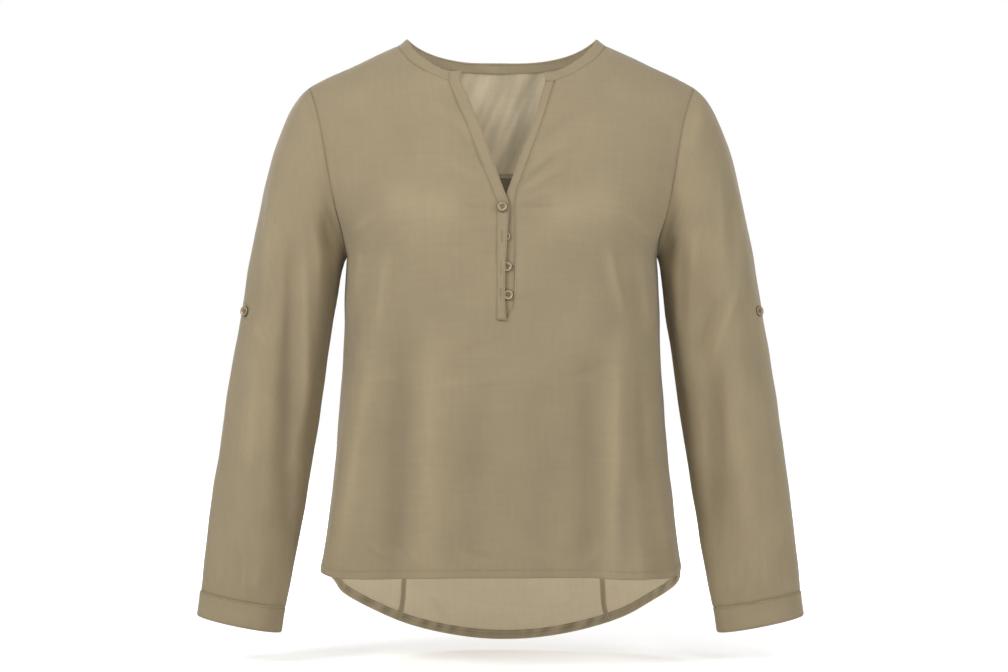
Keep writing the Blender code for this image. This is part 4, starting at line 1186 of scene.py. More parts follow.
@dataclass
class Stitcher:
    """Rows of stitches, as many small thread loops in one mesh."""

    wardrobe: Wardrobe
    pitch: float = 2.9 * MM
    length: float = 2.2 * MM
    width: float = 0.50 * MM
    height: float = 0.36 * MM

    def row(self, made: BMesh, points: Array, normals: Array, pitch: float | None = None) -> None:
        """Adds a row of stitches along a line of points.

        Args:
            made: The mesh that takes them.
            points: The line.
            normals: The cloth's outward directions along it.
            pitch: From one stitch to the next, where it isn't the usual.
        """
        pitch = pitch or self.pitch
        run = arc_lengths(points)
        count = max(int(run[-1] / pitch), 1)
        few = bmesh.new()
        for number in range(count):
            middle = (number + 0.5) * run[-1] / count
            ends = [middle - self.length / 2, middle + self.length / 2]
            place = [on_line(end, run, points) for end in ends]
            self.stitch(few, place[0], place[1], unit(on_line(middle, run, normals)))
        self.pour(few, made)

    def pour(self, few: BMesh, made: BMesh) -> None:
        """Adds a small mesh to a large one, which is quicker than many small shapes in the large one."""
        part = smooth_mesh("part", few)
        made.from_mesh(part)
        bpy.data.meshes.remove(part)

    def stitch(self, made: BMesh, start: Array, end: Array, out: Array,
               width: float | None = None) -> None:
        """Adds one stitch, a small long drop of thread that lies on the cloth."""
        along = unit(end - start)
        side = unit(np.cross(out, along))
        up = np.cross(along, side)
        across = (width or self.width) / 2
        size = (np.linalg.norm(end - start) / 2, across, self.height / 2)
        turn = Matrix([(*row, 0.0) for row in np.stack([along, side, up], axis=1)] + [(0, 0, 0, 1)])
        place = Matrix.Translation((start + end) / 2 + out * 0.06 * MM)
        scale = Matrix.Diagonal((*size, 1.0))
        bmesh.ops.create_uvsphere(made, u_segments=6, v_segments=4, radius=1.0, matrix=place @ turn @ scale)

    def beside(self, made: BMesh, net: Net, edge: Edge, distance: float,
               start: float = 0.0, end: float = 1.0) -> None:
        """Adds a row beside an edge of a net, over a share of its length."""
        line = net.strip(edge, distance + np.array([-0.2, 0.0, 0.2]) * MM)
        middle = (slice(None), 1) if edge in (Edge.START, Edge.END) else 1
        points, normals = line.points[middle], line.normals()[middle]
        first, last = int(start * (len(points) - 1)), int(end * (len(points) - 1)) + 1
        self.row(made, points[first:last], normals[first:last])

    def rows(self, name: str, *lines: tuple) -> Object:
        """Rows of stitches as one piece, each given as the net, edge, distance and ends of beside."""
        made = bmesh.new()
        for line in lines:
            self.beside(made, *line)
        return self.piece(name, made)

    def piece(self, name: str, made: BMesh) -> Object:
        """The finished stitches as one piece."""
        return self.wardrobe.mesh_piece(name, made, self.wardrobe.thread)


def facing(net: Net, half: Half) -> Array:
    """How far each point of a net faces forwards or backwards, from 0 to 1."""
    return np.clip(net.normals()[..., 1] * half * 1.6, 0, 1)


# ---- the body


@dataclass
class OpeningForm:
    """The opening at the centre front, and the two plackets along it."""

    body: BodyForm = BodyForm()
    lap: float = 3.0 * MM           # how far each placket and the front lie over each other
    upper_lift: float = 1.9 * MM
    sewn_down: float = 0.9 * MM     # how much closer to the front the upper placket's sewn edge lies
    button_room: float = 0.8 * MM
    under_sink: float = 1.1 * MM
    v_zone: tuple[float, float] = (-0.167, -0.144)
    band_height: float = 14.0 * MM
    # height, sewn edge and free edge of the upper placket, free edge and seam of the under placket
    rows: Table = in_mm(
        (-298, -5.5, 4.6, 0, 6), (-287, -5.5, 3.8, -1, 12.2), (-264, -5.5, 3.4, -1, 13.8),
        (-240, -5.5, 4.2, -1, 14.2), (-213, -5.5, 6, -1, 14.2), (-190, -5.5, 7.4, -1, 14),
        (-176, -5.2, 6.8, 1.2, 14), (-163.4, -10.4, 2.2, 6.3, 16.4), (-129.4, -23.6, -10.3, 18.9, 29),
        (-86, -40.4, -26.4, 35, 44.4), (-44.5, -57.5, -44, 46.3, 57.5),
    )

    @property
    def foot_z(self) -> float:
        """Height of the slit's foot."""
        return self.rows[0][0]

    @property
    def top_z(self) -> float:
        """Height of the V's top."""
        return self.rows[-1][0]

    def edge_x(self, rises: Array, v_rise: float, side: Side) -> Array:
        """x of one side of the front's opening, then of its neckline, on each row."""
        table = np.array(self.rows)
        edge = table[:, 1] + self.lap if side == Side.RIGHT else table[:, 4].copy()
        edge[-1] = side * self.body.front_neckline[0][0]
        heights = np.linspace(self.foot_z, self.top_z, 400)
        x = np.interp(heights, table[:, 0], edge)
        below = np.interp(rises, self.body.rise_of(Half.FRONT, np.abs(x), heights), x)
        return np.where(rises > v_rise + 1e-9, side * self.body.neckline_x(rises), below)

    def placket(self, first: Array, last: Array, across: Array,
                shares: tuple[float, ...], lifts: Array, over: float = -0.4 * MM) -> Array:
        """A strip of the opening from its foot to the neckband.

        Args:
            first: x of its right edge at each row of the opening.
            last: x of its left edge.
            across: Places from 0 to 1 across it.
            shares: Places across it at which the lifts are given.
            lifts: Heights off the front where the plackets overlap, and above there.
            over: How far it goes on above the neck seam.

        Returns:
            The strip's points.
        """
        heights = np.concatenate([
            np.linspace(self.foot_z - self.lap, self.v_zone[0], 70),
            np.linspace(self.v_zone[0], self.v_zone[1], 16)[1:],
            np.linspace(self.v_zone[1], self.top_z + over, 56)[1:],
        ])
        rows = np.array(self.rows)[:, 0]
        start, end = np.interp(heights, rows, first), np.interp(heights, rows, last)
        x = start[:, None] + (end - start)[:, None] * across
        apart = ease((heights - self.v_zone[0]) / (self.v_zone[1] - self.v_zone[0]))[:, None]
        overlapped, above = (np.interp(across, shares, lift) for lift in lifts)
        lift = overlapped * (1 - apart) + above * apart
        return self.body.on_front(x, np.broadcast_to(heights[:, None], x.shape), lift)


@dataclass
class BodyPanels:
    """Front, back panels and yoke, with their hems and the allowances that show inside."""

    wardrobe: Wardrobe
    stitcher: Stitcher
    opening: OpeningForm
    body: BodyForm = BodyForm()
    half_columns: int = 92
    slit_columns: int = 4
    hem_stitch: float = 8.5 * MM    # from the hem's edge to its stitches
    slit_stitch: float = 1.6 * MM
    yoke_stitch: float = 1.8 * MM
    hem_strip: float = 10.5 * MM    # how far up the turned-up hem goes
    hem_start: float = 0.5 * MM
    hem_gap: float = 0.12 * MM      # between the hem's two layers
    hem_hang: float = 0.7 * MM
    hem_wave: float = 3.4 * MM
    hem_wave_height: float = 0.8 * MM
    hem_thickness: float = 0.5 * MM
    allowance_gap: float = 0.15 * MM
    allowance_thickness: float = 0.6 * MM
    overlock_pitch: float = 1.7 * MM
    overlock_width: float = 0.32 * MM
    allowance: float = 4.2 * MM
    yoke_allowance: float = 3.6 * MM
    under: float = 2.0 * MM         # how far an allowance reaches under the neighbour
    foot_bend: float = 6.0 * MM     # an allowance bends outwards where the hem catches it
    foot_reach: float = 30.0 * MM

    def build(self) -> None:
        """Makes every panel."""
        self.build_front()
        self.build_back()
        self.build_yoke()

    def soft(self, net: Net, half: Half, creases: Table) -> Array:
        """Lift of a panel from its creases and its unevenness."""
        return crease_lift(net.points, creases, BODY_DEPTH) * facing(net, half) + ripple(net.points)

    def build_front(self) -> None:
        """The front, slit down from the V."""
        body, opening = self.body, self.opening
        slit_rise = body.front_rise(0.0, opening.foot_z)
        v_rise = body.front_rise(body.neck_x / 2, opening.top_z)
        rises = np.concatenate([
            -1 + (slit_rise + 1) * crowded(92, end=False),
            np.linspace(slit_rise, 0, 26)[1:],
            np.linspace(0, v_rise, 74)[1:],
            v_rise + (1 - v_rise) * crowded(34, start=False)[1:],
        ])
        outer = body.side_turn(rises)
        ends = [
            body.turn_of(Half.FRONT, opening.edge_x(rises, v_rise, side), rises)
            for side in (Side.RIGHT, Side.LEFT)
        ]
        steps = crowded(self.half_columns)
        middle = np.linspace(0, 1, self.slit_columns + 1)[1:-1]
        turns = np.concatenate([
            -outer[:, None] + (ends[0] + outer)[:, None] * steps,
            ends[0][:, None] + (ends[1] - ends[0])[:, None] * middle,
            ends[1][:, None] + (outer - ends[1])[:, None] * steps,
        ], axis=1)
        net = Net(body.point(Half.FRONT, turns, rises[:, None]))
        slit_row = int(np.argmin(np.abs(rises - slit_rise)))
        missing = np.zeros((net.points.shape[0] - 1, net.points.shape[1] - 1), bool)
        missing[slit_row:, self.half_columns:self.half_columns + self.slit_columns] = True
        finished, seam = self.wardrobe.panel(net, HEMMED, self.soft(net, Half.FRONT, FRONT_CREASES))
        front = self.wardrobe.cloth_piece(
            "front_panel", finished, self.wardrobe.cloth, "front", missing=missing, seam=seam
        )
        hem = self.hem_inside("front_hem_inside", finished)
        v_row = int(np.argmin(np.abs(rises - v_rise)))
        left = Net(finished.points[slit_row:v_row, self.half_columns + self.slit_columns:])
        sewn = self.stitcher.rows(
            "front_stitches", (finished, Edge.FOOT, self.hem_stitch), (left, Edge.START, self.slit_stitch)
        )
        finished.cut(missing)

    def hem_inside(self, name: str, finished: Net) -> Object:
        """The turned-up part of a hem, inside its panel, with the small waves of its sewing and painted
        shade that follows them.
        """
        inward = -(self.wardrobe.cloth + self.hem_gap)
        strip = finished.strip(Edge.FOOT, np.linspace(self.hem_start, self.hem_strip, 15), inward)
        run, up = strip.across(), strip.along() / self.hem_strip
        wave = np.sin(run / self.hem_wave + 1.6 * np.sin(run / 0.015) + 1.5 * up)
        wave *= 0.55 + 0.45 * np.sin(run / 0.026)
        # Painted shade: darker with the waves, and along two lines that run the hem's length
        painted_shade_lines = bell(up - 0.93, 0.07) + 0.7 * bell(up - 0.55, 0.06)
        face = strip.lifted(self.hem_wave_height * wave * np.sin(up * math.pi * 0.8) - self.hem_hang)
        shade = 0.25 + 0.55 * wave * (0.4 + 0.6 * up) + 0.55 * painted_shade_lines * (1 + 0.5 * wave)
        return self.wardrobe.cloth_piece(
            name, face, self.hem_thickness, inner=True, seam=np.clip(shade, 0, 1)
        )

    def back_panel_net(self, first: float | None, last: float | None, left: Side, right: Side,
                       columns: int) -> Net:
        """A panel of the back below the yoke, from the wearer's left to the right.

        Args:
            first: 1 where it starts at the seam beside the centre back, None at the side seam.
            last: The same for where it ends.
            left: Side on which it starts.
            right: Side on which it ends.
            columns: How many steps of columns it has.

        Returns:
            Its net.
        """
        body = self.body
        low = -1 + crowded(120, end=False)
        high = np.linspace(body.armpit_z, body.yoke_z, 34)[1:]
        steps = crowded(columns)
        low_ends, high_ends = [], []
        for bound, side in ((first, left), (last, right)):
            turn = np.full(len(low), float(side))
            if bound is not None:
                for _ in range(body.fit_steps):
                    z = body.ring_point(Half.BACK, turn, low)[..., 2]
                    turn = body.turn_of(Half.BACK, side * body.princess_x(z), low)
            low_ends.append(turn)
            x = side * (body.back_armhole_x(high) if bound is None else body.princess_x(high))
            high_ends.append(body.turn_of(Half.BACK, x, body.rise_of(Half.BACK, np.abs(x), high)))
        low_turns = low_ends[0][:, None] + (low_ends[1] - low_ends[0])[:, None] * steps
        high_turns = high_ends[0][:, None] + (high_ends[1] - high_ends[0])[:, None] * steps
        heights = np.broadcast_to(high[:, None], high_turns.shape)
        rise = np.full(high_turns.shape, 0.3)
        for _ in range(body.fit_steps):
            x = np.abs(body.ring_point(Half.BACK, high_turns, rise)[..., 0])
            rise = body.rise_of(Half.BACK, x, heights)
        return Net(np.concatenate([
            body.point(Half.BACK, low_turns, low[:, None]),
            body.point(Half.BACK, high_turns, rise),
        ]))

    def build_back(self) -> None:
        """The centre back and the two side backs, with the seams' allowances inside."""
        panels = (
            ("back_centre", 1, 1, Side.LEFT, Side.RIGHT, 90, (Edge.START, Edge.END)),
            ("back_side_left", None, 1, Side.LEFT, Side.LEFT, 52, ()),
            ("back_side_right", 1, None, Side.RIGHT, Side.RIGHT, 52, ()),
        )
        for node, first, last, left, right, columns, seams in panels:
            net = self.back_panel_net(first, last, left, right, columns)
            finished, seam = self.wardrobe.panel(net, HEMMED, self.soft(net, Half.BACK, BACK_CREASES))
            piece = self.wardrobe.cloth_piece(
                node + "_panel", finished, self.wardrobe.cloth, node, seam=seam
            )
            extras = [
                self.hem_inside(node + "_hem_inside", finished),
                self.stitcher.rows(node + "_stitches", (finished, Edge.FOOT, self.hem_stitch)),
            ]
            for edge in seams:
                extras += self.allowance_inside(
                    f"{node}_allowance_{edge.value}", finished, edge, self.allowance
                )
            finished.cut()

    def allowance_inside(self, name: str, finished: Net, edge: Edge, width: float) -> list[Object]:
        """A seam's allowance, pressed to one side inside a panel, and its overlock stitches."""
        inward = -(self.wardrobe.cloth + self.allowance_gap)
        strip = finished.strip(edge, np.linspace(-self.under, width, 9), inward)
        sideways = edge in (Edge.START, Edge.END)
        run = strip.along() if sideways else strip.across()
        if sideways:
            beyond = unit(strip.points[:, :1] - strip.points[:, -1:]) * (1 if edge == Edge.START else -1)
            bend = self.foot_bend * np.clip(1 - run / self.foot_reach, 0, 1) ** 2
            strip.points += beyond * bend[..., None]
        face = strip.lifted(-0.30 * MM - 0.25 * MM * np.sin(run / 0.011 + np.sin(run / 0.023)))
        # The allowance takes a faint painted shade all over
        piece = self.wardrobe.cloth_piece(
            name, face, self.allowance_thickness, inner=True, seam=np.full(run.shape, 0.15)
        )
        line, normals = face.points, face.normals()
        if not sideways:
            line, normals = line.transpose(1, 0, 2), normals.transpose(1, 0, 2)
        lengths = arc_lengths(line[:, 4])
        overlock = bmesh.new()
        for at in np.arange(MM, lengths[-1] - MM, self.overlock_pitch):
            out = unit(on_line(at, lengths, normals[:, 4]))
            ends = [on_line(at, lengths, line[:, place]) - out * 0.62 * MM for place in (2, 7)]
            self.stitcher.stitch(overlock, *ends, -out, width=self.overlock_width)
        return [piece, self.stitcher.piece(name + "_stitches", overlock)]

    def build_yoke(self) -> None:
        """The back yoke, up to the back neckline and the shoulder seams."""
        body = self.body
        neck_columns, shoulder_columns = 52, 34
        half = neck_columns + shoulder_columns
        neck_share = neck_columns / half
        rows = crowded(46)[:, None]
        signed = np.linspace(1, -1, 2 * half + 1)[None, :]
        q = np.abs(signed)
        foot_x = body.back_armhole_x(np.full(q.shape, body.yoke_z)) * q
        along_neck = np.clip(q / neck_share, 0, 1)
        along_shoulder = np.clip((q - neck_share) / (1 - neck_share), 0, 1)
        head_x = body.neck_x * along_neck + (body.shoulder_line[-1][0] - body.neck_x) * along_shoulder
        head_z = np.where(q <= neck_share, body.neck_back(head_x), body.shoulder_z(head_x))
        foot_rise = body.rise_of(Half.BACK, foot_x, np.full(foot_x.shape, body.yoke_z))
        head_rise = body.rise_of(Half.BACK, head_x, head_z)
        rise = foot_rise + (head_rise - foot_rise) * rows
        x = foot_x + (head_x - foot_x) * rows
        straight = foot_x[:, :1] + (head_x[:, :1] - foot_x[:, :1]) * rows
        x = x + (body.armhole_x(rise[:, :1]) - straight) * q**3
        turn = body.turn_of(Half.BACK, np.sign(signed) * x, rise)
        net = Net(body.point(Half.BACK, turn, rise))
        finished, seam = self.wardrobe.panel(net, SEWN, self.soft(net, Half.BACK, BACK_CREASES))
        yoke = self.wardrobe.cloth_piece(
            "back_yoke_panel", finished, self.wardrobe.cloth, "back_yoke", seam=seam
        )
        inside = self.allowance_inside("back_yoke_allowance", finished, Edge.FOOT, self.yoke_allowance)
        sewn = self.stitcher.rows("back_yoke_stitches", (finished, Edge.FOOT, self.yoke_stitch))
        finished.cut()


# ---- neckband and plackets


@dataclass
class OpeningPieces:
    """The neckband, the two plackets and their stitches and buttonholes."""

    wardrobe: Wardrobe
    stitcher: Stitcher
    opening: OpeningForm
    body: BodyForm = BodyForm()
    band_over: float = 0.9 * MM     # how far the placket's top lies off the band's face
    rounded: float = 0.45 * MM
    edge_stitch: float = 1.5 * MM
    foot_stitches: tuple[float, float] = (1.6 * MM, 8.5 * MM)
    # share of the way round, degrees above level
    lean: Table = ((0.0, 52.0), (0.30, 38.0), (0.5, 52.0))
    buttonholes: tuple[float, ...] = (-0.2131, -0.2447, -0.2745)
    buttonhole_length: float = 13.0 * MM
    buttonhole_reach: tuple[float, float] = (0.12 * MM, 1.15 * MM)
    placket_painted_shadow: float = 1.8 * MM     # width of the painted shadow that the upper placket casts on the under one

    def build(self) -> None:
        """Makes the pieces."""
        band = self.band_net()
        self.build_band(band)
        self.build_upper(band)
        self.build_under(band)

    def half_seam(self, side: Side, end_x: float) -> Array:
        """The neckband's seam from its end at the front to the centre back."""
        body, opening = self.body, self.opening
        v_rise = body.front_rise(body.neck_x / 2, opening.top_z)
        neck = np.linspace(v_rise, 1, 60)[:-1]
        x = np.where(neck > v_rise + 1e-9, body.neckline_x(neck), body.front_neckline[0][0])
        end = np.linspace(end_x, x[0], 9)[:-1]
        front_rise = np.concatenate([body.rise_of(Half.FRONT, end, np.full(len(end), opening.top_z)), neck])
        front_x = np.concatenate([end, x])
        front = body.point(Half.FRONT, body.turn_of(Half.FRONT, side * front_x, front_rise), front_rise)
        back_x = body.neck_x * np.linspace(1, 0, 70)
        back_rise = body.rise_of(Half.BACK, back_x, body.neck_back(back_x))
        back = body.point(Half.BACK, body.turn_of(Half.BACK, side * back_x, back_rise), back_rise)
        return np.concatenate([front, back])

    def seam_and_stand(self) -> tuple[Array, Array]:
        """The neckband's seam from its left end to its right one, and where the band stands to."""
        left = self.half_seam(Side.LEFT, self.opening.rows[-1][3])
        right = self.half_seam(Side.RIGHT, -self.opening.rows[-1][2])
        seam = np.concatenate([left, right[-2::-1]])
        smooth = seam.copy()
        for _ in range(3):
            smooth[1:-1] = (smooth[:-2] + 2 * smooth[1:-1] + smooth[2:]) / 4
        along = arc_lengths(smooth)
        share = along / along[-1]
        lean = np.radians(on_rows(self.lean, np.minimum(share, 1 - share))[:, 0])
        tangent = np.gradient(smooth, axis=0)
        inward = unit(np.stack([-tangent[:, 1], tangent[:, 0], np.zeros(len(seam))], axis=-1))
        for _ in range(6):
            inward[1:-1] = unit(inward[:-2] + 2 * inward[1:-1] + inward[2:])
        stand = inward * np.cos(lean)[:, None] + np.array([0.0, 0.0, 1.0]) * np.sin(lean)[:, None]
        return smooth, stand

    def band_net(self) -> Net:
        """The neckband's outer face, which stands on the neck seam and leans in."""
        seam, stand = self.seam_and_stand()
        up = (0.12 * MM + (self.opening.band_height - 0.12 * MM) * crowded(16))[:, None, None]
        return Net(seam[None] + stand[None] * up)

    def build_band(self, net: Net) -> None:
        """The neckband with its stitches."""
        rolled = 0.5 * MM * bell(net.away(Edge.HEAD), 1.2 * MM)
        run = net.across()
        finished = net.lifted(0.16 * MM * np.sin(run / 0.009 + np.sin(run / 0.021)) - rolled)
        # Painted shade along the band's foot, at the neck seam
        band = self.wardrobe.cloth_piece(
            "neckband_folded", finished, self.wardrobe.doubled, "neckband",
            seam=0.5 * bell(net.away(Edge.FOOT), 1.4 * MM), rounded=self.rounded,
        )
        sewn = self.stitcher.rows("neckband_stitches", (finished, Edge.FOOT, self.foot_stitches[0]))
        finished.cut()

    def band_top(self, band: Net, across: Array, x_ends: tuple[float, float]) -> Array:
        """Rows that carry the upper placket on over the right end of the neckband.

        Args:
            band: The neckband's net, which ends on the right.
            across: Places across the placket.
            x_ends: x of the placket's two edges at the neck seam.

        Returns:
            The rows' points.
        """
        body = self.body
        stand = unit(band.points[-1, -1] - band.points[0, -1])
        x = x_ends[0] + (x_ends[1] - x_ends[0]) * across
        seam = body.on_front(x, np.full(x.shape, self.opening.top_z))
        out = unit(np.cross(np.array([1.0, 0.0, 0.0]), stand))
        rows = np.linspace(0.9 * MM, self.opening.band_height + 0.25 * MM, 14)
        return seam[None] + stand * rows[:, None, None] + out * self.band_over

    def build_upper(self, band: Net) -> None:
        """The placket on the wearer's right, which carries the buttonholes."""
        table = np.array(self.opening.rows)
        across = crowded(14, closeness=2.5)
        shares = (0.0, 0.3, 0.6, 1.0)
        flat = self.opening.upper_lift - self.opening.sewn_down * np.array([1.0, 0.35, 0.0, 0.0])
        over = flat + self.opening.button_room * np.array([0.0, 0.6, 1.0, 1.0])
        lifts = np.array([over, flat])
        strip = self.opening.placket(table[:, 1], table[:, 2], across, shares, lifts)
        net = Net(np.concatenate([strip, self.band_top(band, across, (table[-1, 1], table[-1, 2]))]))
        run = net.along()
        finished = net.lifted(0.12 * MM * np.sin(run / 0.008) * np.sin(run / 0.027))
        # Painted shade along the placket's sewn edge
        piece = self.wardrobe.cloth_piece(
            "placket_upper_folded", finished, self.wardrobe.doubled, "placket_upper",
            seam=0.5 * bell(net.away(Edge.START), MM), rounded=self.rounded,
        )
        sewn = self.stitcher.rows(
            "placket_upper_stitches",
            (finished, Edge.START, self.edge_stitch),
            (finished, Edge.END, self.edge_stitch),
            *((finished, Edge.FOOT, distance) for distance in self.foot_stitches),
        )
        holes = bmesh.new()
        for z in self.buttonholes:
            self.buttonhole(holes, net, z)
        worked = self.wardrobe.mesh_piece("buttonholes", holes, self.wardrobe.outside)
        finished.cut()

    def buttonhole(self, made: BMesh, net: Net, z: float) -> None:
        """Adds one buttonhole's close stitches, up the middle of the upper placket."""
        column = net.points.shape[1] // 2
        line, normals = net.points[:, column], net.normals()[:, column]
        heights = np.arange(-0.5, 0.5001, 1 / 26) * self.buttonhole_length + z
        for side in Side:
            for height in heights:
                middle = on_line(height, line[:, 2], line)
                out = unit(on_line(height, line[:, 2], normals))
                across = unit(np.cross(np.array([0.0, 0.0, 1.0]), out)) * side
                ends = [middle + across * reach for reach in self.buttonhole_reach]
                self.stitcher.stitch(made, *ends, out, width=0.5 * MM)

    def build_under(self, band: Net) -> None:
        """The placket on the wearer's left, which carries the buttons."""
        table = np.array(self.opening.rows)
        across = crowded(14, closeness=2.5)
        sunk = self.opening.under_sink
        lifts = -np.array([[sunk, sunk, sunk, sunk], [0.3 * MM, 0.3 * MM, sunk, sunk]])
        strip = self.opening.placket(
            table[:, 3], table[:, 4] + self.opening.lap, across, (0.0, 0.64, 0.76, 1.0), lifts, MM
        )
        finished = Net(strip)
        # Painted shadow of the upper placket's free edge on the under placket, below the V
        x, z = strip[..., 0], strip[..., 2]
        beyond = x - np.interp(z, table[:, 0], table[:, 2])
        piece = self.wardrobe.cloth_piece(
            "placket_under_folded", finished, self.wardrobe.doubled, "placket_under",
            seam=bell(beyond, self.placket_painted_shadow) * (z < self.opening.v_zone[0]), rounded=self.rounded,
        )
        sewn = self.stitcher.rows("placket_under_stitches", (finished, Edge.START, self.edge_stitch, 0.5))
        finished.cut()


# ---- sleeves


@dataclass
class Sleeve:
    """One sleeve with its cuff and roll-up tab."""

    wardrobe: Wardrobe
    stitcher: Stitcher
    form: SleeveForm
    tab_ring: float = 6.98
    tab_turn: float = 31.0
    tab_head: float = 0.12
    tab_half_turn: float = 9.0
    tab_end_ring: float = 9.1
    tab_point: float = 0.2
    tab_end_width: float = 0.45
    tab_gap: float = 1.9 * MM       # from the sleeve's outer face to the tab's
    head_stitch: float = 2.0 * MM
    cuff_stitches: tuple[float, float] = (2.0 * MM, 2.4 * MM)

    @property
    def word(self) -> str:
        """The side's name."""
        return self.form.side.name.lower()

    def build(self) -> None:
        """Makes the pieces."""
        self.build_sleeve()
        self.build_cuff()
        self.build_tab()

    def build_sleeve(self) -> None:
        """The sleeve, seamed at the underarm."""
        form = self.form
        around = 180 + 360 * crowded(112, closeness=3.0)
        head = 3 * crowded(44, end=False, closeness=3.0)
        ring = np.concatenate([head, 3 + 9 * crowded(150, start=False)[1:]])
        net = Net(form.on_side(form.points(ring, around)), closed=True)
        lift = ripple(net.points) + self.gathers(net)
        for half in Half:
            creases = SLEEVE_CREASES[(form.side, half)]
            lift += crease_lift(net.points, creases, SLEEVE_DEPTH) * facing(net, half)
        finished, seam = self.wardrobe.panel(net, SEWN, lift)
        closed = finished.points
        closed[:, 0] = closed[:, -1] = (closed[:, 0] + closed[:, -1]) / 2
        finished = Net(closed, True, finished.painted_relief_shade)
        piece = self.wardrobe.cloth_piece(
            f"sleeve_{self.word}_panel", finished, self.wardrobe.cloth, f"sleeve_{self.word}", seam=seam
        )
        sewn = self.stitcher.rows(
            f"sleeve_{self.word}_stitches", (finished, Edge.HEAD, self.head_stitch)
        )
        finished.cut()

    def gathers(self, net: Net) -> Array:
        """Small uneven pleats where the sleeve is eased into its cuff and armhole."""
        run = net.across()
        uneven = np.sin(run / 0.0052 + 1.7 * np.sin(run / 0.019)) * (0.5 + 0.5 * np.sin(run / 0.033 + 1.0))
        cuff = 0.55 * MM * bell(net.away(Edge.HEAD), 16 * MM)
        head = 0.25 * MM * bell(net.away(Edge.FOOT), 9 * MM)
        return uneven * (cuff + head)

    def build_cuff(self) -> None:
        """The closed band cuff, edge-stitched above and below."""
        form = self.form
        around = 180 + 360 * np.linspace(0, 1, 113)
        first = form.last_ring + 1
        ring = first + 2 * crowded(26)
        net = Net(form.on_side(form.between(first, first + 2, ring, around)), closed=True)
        run, foot, edge = net.across(), net.away(Edge.FOOT), net.away(Edge.HEAD)
        turn = FULL_TURN * run / run[:, -1:]
        wave = np.sin(7 * turn + 2.1 * np.sin(turn)) * (0.6 + 0.4 * np.sin(2 * turn))
        lift = 0.22 * MM * wave + 0.35 * MM * bell(foot - 3 * MM, 4 * MM)
        lift -= 0.7 * MM * bell(edge, 1.4 * MM) + 0.5 * MM * bell(foot, 1.1 * MM)
        finished = net.lifted(lift)
        # Painted shade along the cuff's foot, at its seam to the sleeve
        piece = self.wardrobe.cloth_piece(
            f"cuff_{self.word}_folded", finished, self.wardrobe.doubled, f"cuff_{self.word}",
            seam=bell(foot, 1.5 * MM), rounded=0.5 * MM,
        )
        below, above = self.cuff_stitches
        sewn = self.stitcher.rows(
            f"cuff_{self.word}_stitches", (finished, Edge.FOOT, below), (finished, Edge.HEAD, above)
        )
        finished.cut()

    def patch(self, rings: Array, turns: Array) -> Net:
        """A patch of the sleeve's face."""
        return Net(self.form.on_side(self.form.points(rings, turns)))

    def build_tab(self) -> None:
        """The roll-up tab inside the sleeve, and its square of stitches outside."""
        start = self.tab_ring - self.tab_head
        rings = np.linspace(start, self.tab_end_ring - self.tab_point, 22)
        rings = np.append(rings, self.tab_end_ring)
        turns = self.tab_turn + np.linspace(-1, 1, 9) * self.tab_half_turn
        net = self.patch(rings, turns).lifted(-self.tab_gap)
        last = net.points[-1]
        net.points[-1] = last.mean(axis=0) + (last - last.mean(axis=0)) * self.tab_end_width
        piece = self.wardrobe.cloth_piece(
            f"sleeve_tab_{self.word}_folded", net, self.wardrobe.doubled, f"sleeve_tab_{self.word}",
            rounded=0.4 * MM, inner=True,
        )
        stitches = bmesh.new()
        share = np.linspace(-1, 1, 9)
        square = self.patch(self.tab_ring + 0.085 * share, self.tab_turn + 7.0 * share)
        points, outs = square.points, square.normals()
        for line in ((0, slice(None)), (-1, slice(None)), (slice(None), 0), (slice(None), -1)):
            self.stitcher.row(stitches, points[line], outs[line], pitch=2.4 * MM)
        sewn = self.stitcher.piece(f"sleeve_tab_{self.word}_stitches", stitches)
        net.cut()


# ---- buttons


